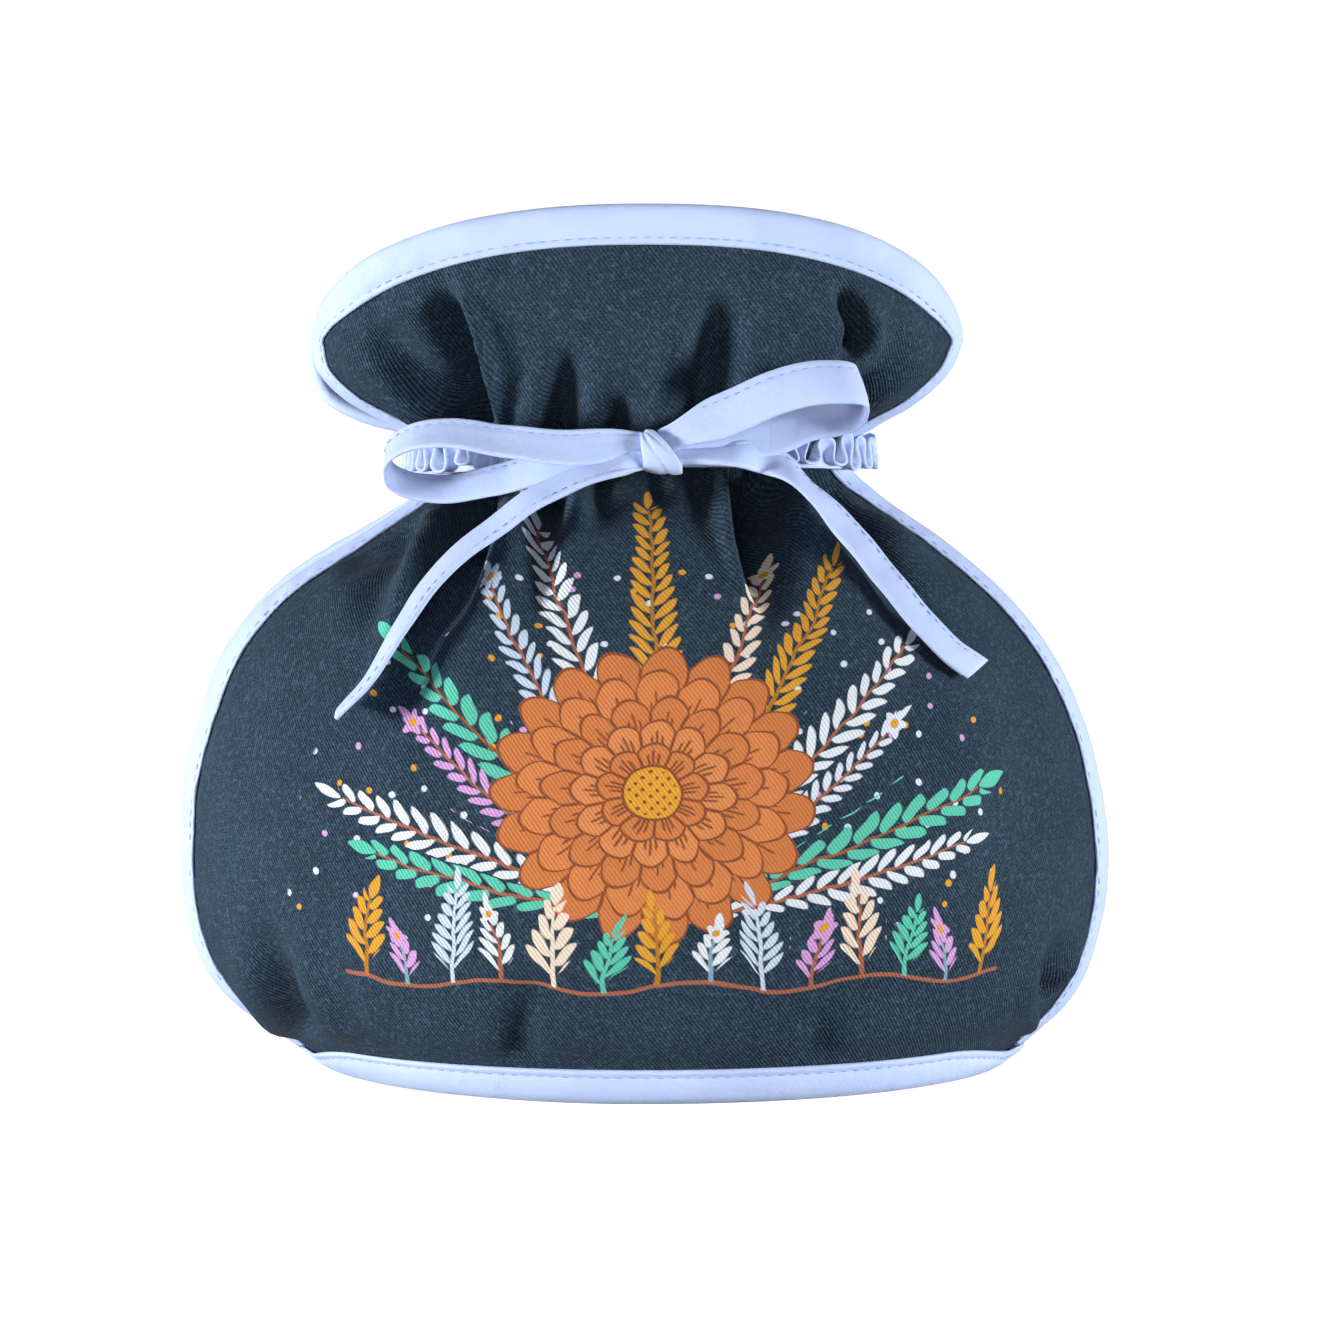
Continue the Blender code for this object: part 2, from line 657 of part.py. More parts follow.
# Each loop's middle line, out of the knot on its near strand and back on its far one, and
# the direction across the ribbon, which leans back so that the near strand shows its face.
Loop = namedtuple("Loop", "name across line")
LOOPS = [
    Loop("loop_left", Vector((0.03, 0.58, 0.81)), [
        (1.5, -48.4, 149.2), (-5.7, -49.8, 149.6), (-12.0, -51.2, 149.0),
        (-19.5, -52.0, 148.8), (-33.3, -52.0, 149.4), (-44.8, -50.4, 151.0),
        (-54.0, -47.4, 150.0), (-59.0, -43.4, 146.6), (-58.8, -39.6, 141.6),
        (-53.0, -38.4, 138.3), (-43.5, -39.0, 137.9), (-33.0, -41.4, 139.8),
        (-21.0, -44.8, 142.4), (-9.0, -47.0, 145.2), (0.5, -48.0, 146.4),
    ]),
    Loop("loop_right", Vector((-0.30, 0.42, 0.86)), [
        (4.4, -48.4, 149.4), (10.0, -50.0, 152.2), (20.9, -51.5, 156.9),
        (30.1, -52.6, 161.0), (37.9, -53.0, 163.1), (45.2, -51.8, 163.4),
        (49.4, -49.0, 162.6), (50.0, -45.0, 160.2), (48.6, -41.0, 157.0),
        (43.9, -38.8, 154.2), (37.6, -38.8, 152.6), (30.0, -40.4, 151.2),
        (20.7, -43.8, 149.8), (12.6, -46.6, 148.4), (6.0, -48.0, 147.0),
    ]),
]
# The tails as seen from in front, (x, z), how far they hang off the panel's middle, and
# how many degrees the ribbon turns about its own line there.
Hang = namedtuple("Hang", "x z out turn")
TAILS = {
    "tail_left": [
        Hang(2.0, 146.0, 15.8, 0.0), Hang(-9.0, 143.9, 14.4, 6.0),
        Hang(-23.3, 138.1, 13.2, 8.0), Hang(-33.5, 131.1, 11.2, 10.0),
        Hang(-41.7, 124.8, 9.8, 16.0), Hang(-49.4, 117.2, 9.2, 26.0),
        Hang(-54.8, 108.8, 9.0, 34.0), Hang(-63.0, 96.0, 9.0, 44.0),
        Hang(-69.3, 89.0, 9.0, 52.0),
    ],
    "tail_right": [
        Hang(5.0, 146.0, 15.8, -10.0), Hang(19.7, 145.7, 16.4, -58.0),
        Hang(28.0, 145.3, 15.0, -40.0), Hang(33.7, 141.5, 12.8, -14.0),
        Hang(43.0, 133.8, 10.0, 0.0), Hang(51.5, 124.1, 7.8, 0.0),
        Hang(63.4, 109.5, 6.4, 0.0), Hang(71.0, 101.6, 6.0, 0.0),
        Hang(76.8, 97.4, 6.0, 0.0),
    ],
}


def through(points, steps):
    """Evenly numbered points on a smooth curve through the given ones."""
    places = [0.0]
    for one, other in zip(points, points[1:]):
        places.append(places[-1] + (other - one).length)
    curves = [Spline(places, [p[axis] for p in points]) for axis in range(3)]
    return [
        Vector([curve(places[-1] * k / steps) for curve in curves]) for k in range(steps + 1)
    ]


def ribbon(name, line, widths, material):
    """A flat strip along a line; widths are the directions across it."""
    sections = []
    for i, point in enumerate(line):
        along = (line[min(i + 1, len(line) - 1)] - line[max(i - 1, 0)]).normalized()
        across = (widths[i] - along * widths[i].dot(along)).normalized()
        half, thin = across * RIBBON_WIDTH / 2, along.cross(across) * RIBBON_THICKNESS / 2
        sections.append([
            point + half + thin, point - half + thin, point - half - thin, point + half - thin,
        ])
    return add_object(name, closed_tube(sections), material)


HANG_TRIES = 6
HANG_CORRECTION = 0.7


def hang_point(panel, hang):
    """The point that far off the panel which is seen from in front at the hang's x and z."""
    x, z = hang.x, hang.z
    for _ in range(HANG_TRIES):
        off = panel.point(x, z, hang.out)
        x += (hang.x - off.x) * HANG_CORRECTION
        z += (hang.z - off.z) * HANG_CORRECTION
    return panel.point(x, z, hang.out), panel.normal(x, z)


def build_bow(front, material):
    """The tied ribbon in one piece: two loops and two tails out of one knot."""
    parts = []
    for loop in LOOPS:
        line = through([Vector(point) for point in loop.line], RIBBON_STEPS)
        parts.append(ribbon(loop.name, line, [loop.across] * len(line), material))
    for name, hangs in TAILS.items():
        found = [hang_point(front, hang) for hang in hangs]
        line = through([point for point, _ in found], RIBBON_STEPS)
        facing = through([normal for _, normal in found], RIBBON_STEPS)
        turns = Spline(range(len(hangs)), [hang.turn for hang in hangs])
        widths = []
        for i in range(len(line)):
            along = line[min(i + 1, len(line) - 1)] - line[max(i - 1, 0)]
            turn = math.radians(turns((len(hangs) - 1) * i / RIBBON_STEPS))
            widths.append(Quaternion(along, turn) @ facing[i].cross(along))
        parts.append(ribbon(name, line, widths, material))
    bm = bmesh.new()
    bmesh.ops.create_icosphere(bm, subdivisions=3, radius=0.5)
    bmesh.ops.scale(bm, vec=KNOT_SIZE, verts=bm.verts)
    bmesh.ops.translate(bm, vec=KNOT_CENTRE, verts=bm.verts)
    bow = add_object("tie_bow", bm, material)
    for part in parts:
        union = bow.modifiers.new("join " + part.name, "BOOLEAN")
        union.operation = "UNION"
        union.solver = "EXACT"
        union.object = part
        part.hide_render = True
        part.display_type = "WIRE"
    return bow


def build():
    """Clears the scene and builds every piece."""
    for old in list(bpy.data.objects):
        bpy.data.objects.remove(old)
    navy = fabric("navy_twill", (0.020, 0.036, 0.062), 0.85)
    blue = fabric("pale_blue_cotton", (0.52, 0.64, 0.92), 0.80)
    front = Panel("front_panel", -1, FRONT_GATHERS, FRONT_CREASES)
    back = Panel("back_panel", 1, BACK_GATHERS, BACK_CREASES)
    build_panel(front, navy)
    build_panel(back, navy)
    build_binding("front_binding", front, blue)
    build_binding("back_binding", back, blue)
    build_hem_band(front, back, blue)
    build_frill((front, back), blue)
    build_bow(front, blue)


build()
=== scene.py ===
"""Looks of a padded tea cosy: printed navy twill, blue bindings, frill, hem and a tied bow.

Every piece is worked out from the cosy's own form, in millimetres, and is put into metres
when its mesh is made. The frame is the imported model: +Z up, the front faces -Y.
"""

from __future__ import annotations

import logging
import math
from dataclasses import dataclass, field
from enum import Enum, IntEnum
from typing import Any, NamedTuple, Sequence

import bmesh
import bpy
import numpy as np
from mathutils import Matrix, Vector, kdtree

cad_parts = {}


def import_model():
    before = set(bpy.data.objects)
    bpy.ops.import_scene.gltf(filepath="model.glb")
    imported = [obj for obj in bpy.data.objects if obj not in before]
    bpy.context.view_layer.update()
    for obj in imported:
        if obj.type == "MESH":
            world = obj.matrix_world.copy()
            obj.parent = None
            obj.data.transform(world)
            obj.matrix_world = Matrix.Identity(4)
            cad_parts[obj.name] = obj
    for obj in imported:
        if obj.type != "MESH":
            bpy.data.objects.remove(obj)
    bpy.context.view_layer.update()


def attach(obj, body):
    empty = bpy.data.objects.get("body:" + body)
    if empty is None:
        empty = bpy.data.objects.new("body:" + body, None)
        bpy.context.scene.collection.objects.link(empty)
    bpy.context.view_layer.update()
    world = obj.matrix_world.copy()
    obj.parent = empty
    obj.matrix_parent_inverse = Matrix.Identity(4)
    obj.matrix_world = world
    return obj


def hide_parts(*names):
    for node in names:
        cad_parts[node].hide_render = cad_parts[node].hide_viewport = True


LOG = logging.getLogger("tea_cosy")
Array = np.ndarray
MM = 0.001
PRINT_EDGE = 0.12  # half the soft edge of a printed shape, in millimetres
# Half a stitch's length, width and height, in millimetres, on the strips and on the ribbon.
STITCH = (0.95, 0.21, 0.17)
RIBBON_STITCH = (0.8, 0.2, 0.14)


class Face(IntEnum):
    """The two panels, by the sign of y."""

    FRONT = -1
    BACK = 1


class Slot(Enum):
    """The record's material slots."""

    NAVY = "navy_twill"
    BLUE = "pale_blue_cotton"


# ------------------------------------------------------------------------ tables
class Level(NamedTuple):
    """One level of the cosy, in millimetres, from hem to ears."""

    height: float
    left: float
    right: float
    depth: float
    roundness: float
    spout_gap: float
    handle_gap: float


LEVELS = (
    Level(2.0, 79.4, 88.4, 72.5, 0.98, 2.8, 2.8),
    Level(7.0, 88.2, 94.0, 74.0, 0.95, 2.8, 2.8),
    Level(13.0, 97.6, 100.8, 76.5, 0.925, 2.8, 2.9),
    Level(20.0, 104.3, 105.5, 79.0, 0.935, 2.9, 3.2),
    Level(29.0, 108.5, 108.4, 81.0, 0.95, 3.1, 4.2),
    Level(40.0, 110.7, 110.4, 82.0, 0.955, 3.8, 6.2),
    Level(53.0, 111.2, 110.6, 82.0, 0.95, 5.2, 7.6),
    Level(68.0, 109.8, 108.4, 80.5, 0.95, 8.0, 7.2),
    Level(83.0, 105.6, 104.1, 77.0, 0.95, 12.0, 6.8),
    Level(98.0, 99.6, 96.6, 71.0, 0.95, 15.5, 7.6),
    Level(111.0, 89.2, 86.1, 62.5, 0.95, 15.0, 8.4),
    Level(123.0, 71.0, 72.2, 53.4, 0.95, 10.5, 7.0),
    Level(133.0, 56.0, 57.8, 44.0, 0.95, 5.0, 4.0),
    Level(139.5, 50.8, 50.4, 35.6, 0.92, 3.0, 3.0),
    Level(145.0, 48.4, 47.8, 32.0, 0.90, 2.8, 2.8),
    Level(150.0, 52.2, 51.0, 33.2, 0.93, 3.2, 3.0),
    Level(154.0, 62.0, 57.2, 34.8, 0.96, 4.4, 3.6),
    Level(159.0, 71.2, 65.6, 36.4, 0.975, 6.0, 4.6),
    Level(165.5, 77.6, 72.4, 38.0, 0.98, 7.4, 5.6),
    Level(172.0, 79.0, 75.4, 39.0, 0.975, 8.4, 6.4),
)


class Spread(NamedTuple):
    """How much further out the back panel's edges stand than the front one's."""

    height: float
    left: float
    right: float


BACK_SPREAD = (
    Spread(70.0, 0.0, -0.6),
    Spread(88.0, 2.2, -0.8),
    Spread(108.0, 1.4, -0.8),
    Spread(119.0, 2.6, -0.6),
    Spread(127.0, 1.4, -0.4),
    Spread(139.5, 0.0, 0.0),
    Spread(148.5, 0.0, 0.0),
    Spread(150.0, 1.2, 0.0),
    Spread(153.0, 6.4, 0.0),
    Spread(157.0, 7.4, -0.6),
    Spread(161.0, 5.2, -1.0),
    Spread(165.5, 2.8, -1.6),
    Spread(172.0, 1.2, -2.0),
)


class Fold(NamedTuple):
    """A fold pressed into a panel: its valley as (x, z, depth), and its two slopes' widths."""

    path: tuple[tuple[float, float, float], ...]
    left: float
    right: float


FRONT_FOLDS = (
    # the collar
    Fold((
        (-46.5, 186.7, 0), (-43.5, 178.9, 6.5), (-40.2, 169.8, 9.5), (-38, 161, 9.5), (-37, 152, 7),
    ), 6.6, 1.8),
    Fold((
        (-64, 179, 0), (-58, 171.5, 3.5), (-51.5, 163.8, 5), (-44.5, 157.5, 4.5), (-38.7, 152.7, 3),
    ), 5.0, 6.0),
    Fold(((-16.9, 174, 0), (-18.3, 165.9, 2.5), (-19.3, 158.9, 4.5), (-19.8, 151.8, 5.5)), 3.0, 4.5),
    Fold((
        (17.9, 184.4, 0), (16.5, 177.5, 3.5), (15.1, 169.4, 6), (13.7, 160.7, 6.5), (12.8, 153.7, 6),
    ), 4.6, 5.4),
    Fold(((-4.9, 162, 0), (-5.6, 157, 2), (-6.5, 151.8, 4)), 3.4, 3.4),
    Fold(((42.7, 190.9, 0), (45, 184.4, 2.6), (47.4, 177.9, 4.6), (48.3, 172.7, 3.2)), 2.6, 2.0),
    Fold(((48.3, 173.2, 2.6), (45, 170.6, 1.8), (40.8, 171.4, 0)), 2.0, 2.0),
    Fold(((60, 175, 0), (55.2, 165.6, 2.5), (48, 158.6, 4.5), (43.8, 151.3, 5)), 5.0, 5.0),
    Fold(((-69, 165, 0), (-64.8, 158.3, 2), (-60, 152, 3)), 3.2, 3.2),
    Fold(((31, 166, 0), (30, 159, 2.4), (29, 151.5, 4)), 3.2, 3.6),
    # below the neck
    Fold((
        (-38.4, 142, 9), (-38.9, 132.4, 8), (-40.1, 122.2, 5), (-41.9, 113.6, 2.5), (-43.9, 104.9, 0),
    ), 6.0, 4.0),
    Fold(((21.6, 145, 9), (21.8, 135.6, 9), (22.8, 126.8, 7), (24.8, 118.1, 4), (28.4, 105, 0)), 1.9, 8.0),
    Fold(((29.3, 143, 4.5), (30.8, 135, 3), (32.5, 126, 0)), 3.0, 3.0),
    Fold(((12.8, 143.6, 1.6), (14.1, 135.7, 1), (15, 128, 0)), 3.0, 3.0),
    Fold(((39.5, 142.8, 3), (44.7, 135, 5.5), (51.2, 125.1, 4), (57.6, 113, 2), (61.9, 102, 0)), 4.0, 4.4),
    Fold((
        (-50, 140, 5), (-53.5, 134.4, 4.5), (-56.8, 125.9, 4), (-60, 115.2, 2.2), (-62.5, 104.3, 0),
    ), 4.4, 3.4),
    Fold(((-61.2, 130.8, 2.6), (-65.1, 123.3, 2), (-67.8, 112.7, 0)), 3.0, 3.0),
    Fold(((-21.7, 141, 5.5), (-22.2, 131.2, 4.5), (-22.9, 120.4, 2.5), (-23.8, 105.2, 0)), 3.2, 3.6),
    Fold(((-10.5, 140.2, 1.4), (-10.2, 134.7, 1), (-9.4, 126, 0)), 2.8, 2.8),
    Fold(((2.3, 140.3, 1.2), (2.8, 135.8, 0.8), (3.5, 129.2, 0)), 2.6, 2.6),
    Fold(((-43.5, 124, 0), (-46.5, 115, 3.5), (-50, 106, 4.5), (-54, 96, 3.5), (-58, 86, 0)), 2.8, 6.0),
    Fold(((56, 137, 3), (64, 128, 2), (73, 116, 0)), 3.4, 3.4),
    # above the hem
    Fold(((-86.5, 40, 0), (-85, 31, 2.6), (-83, 22, 4.2), (-79, 12.4, 4)), 3.6, 4.2),
    Fold(((-22.8, 34, 0), (-25.4, 24, 1.0), (-27.2, 16.2, 1.5), (-25.9, 9.9, 1.4)), 3.4, 4.4),
    Fold(((96.8, 36, 0), (95.2, 28, 2.6), (94.4, 21, 3.6), (96.6, 12.3, 2.8)), 3.2, 3.2),
    Fold(((38, 24, 0), (39, 17, 1), (38, 10, 1.2)), 3.6, 3.6),
)


class Hang(NamedTuple):
    """A point of a ribbon tail as seen from in front, and how it hangs there.

    It lies that far off the panel's middle, turned that many degrees about its own line.
    """

    x: float
    z: float
    out: float
    turn: float


LEFT_TAIL = (
    Hang(2.0, 146.0, 15.8, 0.0), Hang(-9.0, 143.9, 14.4, 6.0), Hang(-23.3, 138.1, 13.2, 8.0),
    Hang(-33.5, 131.1, 11.2, 10.0), Hang(-41.7, 124.8, 9.8, 16.0), Hang(-49.4, 117.2, 9.2, 26.0),
    Hang(-54.8, 108.8, 9.0, 34.0), Hang(-63.0, 96.0, 9.0, 44.0), Hang(-69.3, 89.0, 9.0, 52.0),
)
RIGHT_TAIL = (
    Hang(5.0, 146.2, 15.8, -60.0), Hang(19.7, 146.6, 16.4, -84.0), Hang(28.0, 145.6, 15.2, -62.0),
    Hang(34.5, 141.9, 13.0, -18.0), Hang(43.0, 133.8, 10.0, 0.0), Hang(51.5, 124.1, 7.8, 0.0),
    Hang(63.4, 109.5, 6.4, 0.0), Hang(71.0, 101.6, 6.0, 0.0), Hang(76.8, 97.4, 6.0, 0.0),
)
LEFT_LOOP = (
    (1.5, -48.4, 149.2), (-5.7, -49.8, 149.2), (-12.0, -51.2, 148.4),
    (-19.5, -52.0, 148.2), (-33.3, -52.0, 149.8), (-44.8, -50.4, 151.4),
    (-54.0, -47.4, 150.0), (-59.0, -43.4, 146.6), (-58.8, -39.6, 141.8),
    (-53.0, -38.4, 138.9), (-43.5, -39.0, 138.7), (-33.0, -41.4, 141.0),
    (-21.0, -44.8, 144.2), (-9.0, -47.0, 146.2), (0.5, -48.0, 146.8),
)
RIGHT_LOOP = (
    (4.4, -48.4, 149.4), (10.0, -50.0, 152.2), (20.9, -51.5, 156.9),
    (30.1, -52.6, 161.0), (37.9, -53.0, 163.1), (45.2, -51.8, 163.4),
    (49.4, -49.0, 162.6), (50.0, -45.0, 160.2), (48.6, -41.0, 157.0),
    (43.9, -38.8, 155.4), (37.6, -38.8, 154.2), (30.0, -40.4, 151.2),
    (20.7, -43.8, 149.8), (12.6, -46.6, 148.4), (6.0, -48.0, 147.0),
)


class Sprig(NamedTuple):
    """A printed leafy stem: millimetres, and the inks of its leaves and its stem."""

    height: float
    bend: float
    leaf: float
    width: float
    pitch: float
    blossom: float
    ink: str
    stem: str


FAN = (  # from the right, round over the bloom, to the left
    Sprig(70, 3, 8.5, 1.1, 4.6, 0, "e3e9f4", "a8654a"),
    Sprig(78, -4, 10.0, 1.7, 6.2, 0, "5fc7ae", "9a5a3c"),
    Sprig(66, 4, 7.0, 0.8, 3.6, 3.2, "dfe7f6", "a8654a"),
    Sprig(82, -3, 9.5, 1.1, 4.6, 0, "e6ecf5", "a8654a"),
    Sprig(90, 3, 9.0, 0.9, 3.4, 0, "e0a02c", "b8791f"),
    Sprig(88, -3, 7.6, 1.0, 4.2, 3.0, "f0dcc8", "a8654a"),
    Sprig(100, 2, 9.6, 0.9, 3.5, 0, "e0a02c", "b8791f"),
    Sprig(100, 4, 9.4, 1.1, 4.6, 0, "e6ecf5", "a8654a"),
    Sprig(86, -4, 8.0, 0.9, 3.8, 3.0, "c9d8f0", "a8654a"),
    Sprig(82, 3, 10.0, 1.6, 6.0, 0, "5fc7ae", "9a5a3c"),
    Sprig(68, -4, 7.4, 0.9, 3.8, 3.2, "d6a0dc", "a8654a"),
    Sprig(74, 4, 9.6, 1.1, 4.8, 0, "e6ecf5", "a8654a"),
    Sprig(62, -3, 8.6, 1.5, 5.6, 0, "5fc7ae", "a8654a"),
)
MEADOW = (  # from the left
    Sprig(18, 2, 7.0, 1.1, 3.8, 0, "e0a02c", "b8791f"),
    Sprig(11, -2, 5.0, 0.9, 3.2, 2.6, "d6a0dc", "7fa8b8"),
    Sprig(20, 1, 7.0, 0.7, 2.6, 0, "cfdcf0", "cfdcf0"),
    Sprig(15, -2, 5.6, 0.8, 3.0, 2.2, "e6ecf5", "a8654a"),
    Sprig(18, 1, 6.6, 1.2, 4.2, 0, "f0dcc8", "f0dcc8"),
    Sprig(12, 2, 6.0, 0.8, 2.8, 0, "5fc7ae", "5fc7ae"),
    Sprig(16, -1, 6.0, 0.9, 3.2, 0, "e0a02c", "b8791f"),
    Sprig(11, 1, 5.4, 0.8, 2.8, 2.4, "e6ecf5", "7fa8b8"),
    Sprig(18, -2, 7.0, 0.7, 2.7, 0, "cfdcf0", "cfdcf0"),
    Sprig(13, 2, 5.2, 0.8, 3.0, 2.8, "d6a0dc", "a8654a"),
    Sprig(19, -1, 6.8, 1.1, 4.0, 0, "f0dcc8", "a8654a"),
    Sprig(14, 2, 6.4, 0.8, 2.8, 0, "5fc7ae", "5fc7ae"),
    Sprig(12, -2, 5.4, 0.9, 3.2, 2.6, "d6a0dc", "7fa8b8"),
    Sprig(18, 2, 7.0, 1.1, 3.6, 0, "e0a02c", "b8791f"),
)


# A colour holds a sprig's sizes as shares of these; a bend to either side has half of its own.
TALLEST, MOST_BEND, LONGEST_LEAF = 120.0, 20.0, 10.0
WIDEST_LEAF, WIDEST_PITCH, WIDEST_BLOSSOM = 4.0, 10.0, 8.0


class Petals(NamedTuple):
    """One ring of the bloom's petals: their number, reach, turn and ink."""

    count: int
    reach: float
    turn: float
    ink: str


BLOOM = (
    Petals(19, 33.5, 0.00, "cf7a40"),
    Petals(17, 28.0, 0.35, "d98348"),
    Petals(15, 22.5, 0.15, "d07c42"),
    Petals(12, 17.0, 0.60, "dd8a50"),
    Petals(9, 11.5, 0.25, "d27d43"),
)


# ------------------------------------------------------------------------ numbers
def smooth_step(x: Array, low: float, high: float) -> Array:
    """0 below low, 1 above high, and a smooth rise between."""
    t = np.clip((np.asarray(x, float) - low) / (high - low), 0.0, 1.0)
    return t * t * (3 - 2 * t)


def bell(x: Array, width: float) -> Array:
    """1 at 0, falling off smoothly over a width."""
    return np.exp(-((np.asarray(x, float) / width) ** 2))


def unevenness(places: Array, pitch: float, seed: int) -> Array:
    """A smooth wandering number, mostly between -1 and 1, the same on each run.

    Args:
        places: The points it is read at, one row each.
        pitch: The distance over which it changes.
        seed: Picks one pattern.

    Returns:
        One number for each row.
    """
    rng = np.random.default_rng(seed)
    total = np.zeros(len(places))
    waves = 7
    for _ in range(waves):
        way = rng.normal(size=places.shape[1])
        way *= rng.uniform(0.7, 1.5) * 2 * math.pi / pitch / np.linalg.norm(way)
        total += np.sin(places @ way + rng.uniform(0, 2 * math.pi))
    return total / math.sqrt(waves)


class Curve:
    """A smooth curve through values given at rising places; past its ends it runs on level."""

    def __init__(self, places: Sequence[float], values: Sequence[Any]) -> None:
        """Works out a slope at each place from its neighbours.

        Args:
            places: Rising numbers.
            values: A number or a point for each place.
        """
        self.places = np.asarray(places, float)
        self.values = np.asarray(values, float)
        index = np.arange(len(self.places))
        before, after = np.maximum(index - 1, 0), np.minimum(index + 1, len(index) - 1)
        run = self.places[after] - self.places[before]
        rise = self.values[after] - self.values[before]
        self.slopes = (rise.T / run).T

    def __call__(self, at: Any) -> Array:
        """The values at some places, one row each."""
        at = np.clip(np.asarray(at, float), self.places[0], self.places[-1])
        i = np.clip(np.searchsorted(self.places, at, "right") - 1, 0, len(self.places) - 2)
        step = self.places[i + 1] - self.places[i]
        t = (at - self.places[i]) / step
        if self.values.ndim > 1:
            t, step = t[..., None], step[..., None]
        return (
            (2 * t**3 - 3 * t**2 + 1) * self.values[i]
            + (t**3 - 2 * t**2 + t) * step * self.slopes[i]
            + (3 * t**2 - 2 * t**3) * self.values[i + 1]
            + (t**3 - t**2) * step * self.slopes[i + 1]
        )


def lengths_along(points: Array) -> Array:
    """The length of a line from its start to each of its points."""
    steps = np.linalg.norm(np.diff(points, axis=0), axis=1)
    return np.concatenate([[0.0], np.cumsum(steps)])


def closed(points: Array) -> Array:
    """The points, with the first one again after the last."""
    return np.concatenate([points, points[:1]])


def read_at(at: Array, along: Array, rows: Array) -> Array:
    """The rows of numbers at some lengths along a line, straight between its points."""
    return np.stack([np.interp(at, along, column) for column in rows.T], axis=1)


def unit(vectors: Array) -> Array:
    """The vectors at a length of 1."""
    return vectors / np.linalg.norm(vectors, axis=-1, keepdims=True)


def even_path(points: Sequence[Any], step: float) -> Array:
    """Points at an even step on a smooth curve through the given ones."""
    points = np.asarray(points, float)
    curve = Curve(lengths_along(points), points)
    dense = curve(np.linspace(0.0, curve.places[-1], 40 * len(points)))
    along = lengths_along(dense)
    count = max(int(round(along[-1] / step)), 2)
    return read_at(np.linspace(0.0, along[-1], count + 1), along, dense)


# ------------------------------------------------------------------------ plan of the wrapped cloth
def wrap_length(roundness: Array) -> Array:
    """The cloth from the middle to the edge, for a half width of 1."""
    return roundness * np.arcsin(roundness) + np.sqrt(1 - roundness**2)


def wrap_across(share: Array, roundness: Array) -> Array:
    """How far across a share of the cloth reaches, 1 at the edge."""
    along = np.abs(share) * wrap_length(roundness)
    arc = roundness * np.arcsin(roundness)
    bent = roundness * np.sin(np.minimum(along / roundness, math.pi / 2))
    straight = roundness**2 + (along - arc) * np.sqrt(1 - roundness**2)
    return np.where(along < arc, bent, straight)


def wrap_share(across: Array, roundness: Array) -> Array:
    """The share of the cloth at a place across."""
    bent = roundness * np.arcsin(np.minimum(across / roundness, 1.0))
    arc = roundness * np.arcsin(roundness)
    straight = arc + (across - roundness**2) / np.sqrt(1 - roundness**2)
    return np.where(across < roundness**2, bent, straight) / wrap_length(roundness)


def wrap_depth(across: Array, roundness: Array) -> Array:
    """How far forward the cloth stands, from 1 in the middle to 0 at its edge."""
    bent = np.sqrt(np.maximum(roundness**2 - across**2, 0.0)) / roundness
    return np.where(across < roundness**2, bent, (1 - across) / np.sqrt(1 - roundness**2))


@dataclass
class CosyForm:
    """The heights and curves that all the pieces share, in millimetres."""

    neck: float = 145.0
    ear: float = 172.0
    crown: float = 202.8
    foot: float = 2.0
    band: float = 9.0
    band_end: float = 4.5
    edge_wrap: float = 1.3
    middle_x: float = -0.20
    arch_left: float = 2.3
    arch_right: float = 2.5
    profile: dict[str, Curve] = field(init=False)
    spread: dict[str, Curve] = field(init=False)

    def __post_init__(self) -> None:
        """Makes a curve over height for each column of the tables."""
        self.profile = self.columns_of(LEVELS)
        self.spread = self.columns_of(BACK_SPREAD)

    @staticmethod
    def columns_of(rows: Sequence[Any]) -> dict[str, Curve]:
        """A curve over height for each other column of a table."""
        heights = [row.height for row in rows]
        names = rows[0]._fields[1:]
        return {name: Curve(heights, [getattr(row, name) for row in rows]) for name in names}

    def arch(self, across: Array) -> Array:
        """The collar's rise at a place across it, from -1 to 1: 0 at the ears and 1 in the middle."""
        power = np.where(across < 0, self.arch_left, self.arch_right)
        return np.sqrt(np.maximum(0.0, 1 - np.abs(across) ** power))

    def seam(self, share: Array) -> Array:
        """The hem band's upper edge, which dips towards the sides."""
        dip = smooth_step(np.abs(share), 0.55, 0.90)
        return self.band + (self.band_end - self.band) * dip


class Rim(NamedTuple):
    """Evenly spaced stations along a panel's side and top edges, and the way in from each."""

    x: Array
    z: Array
    in_x: Array
    in_z: Array
    length: float


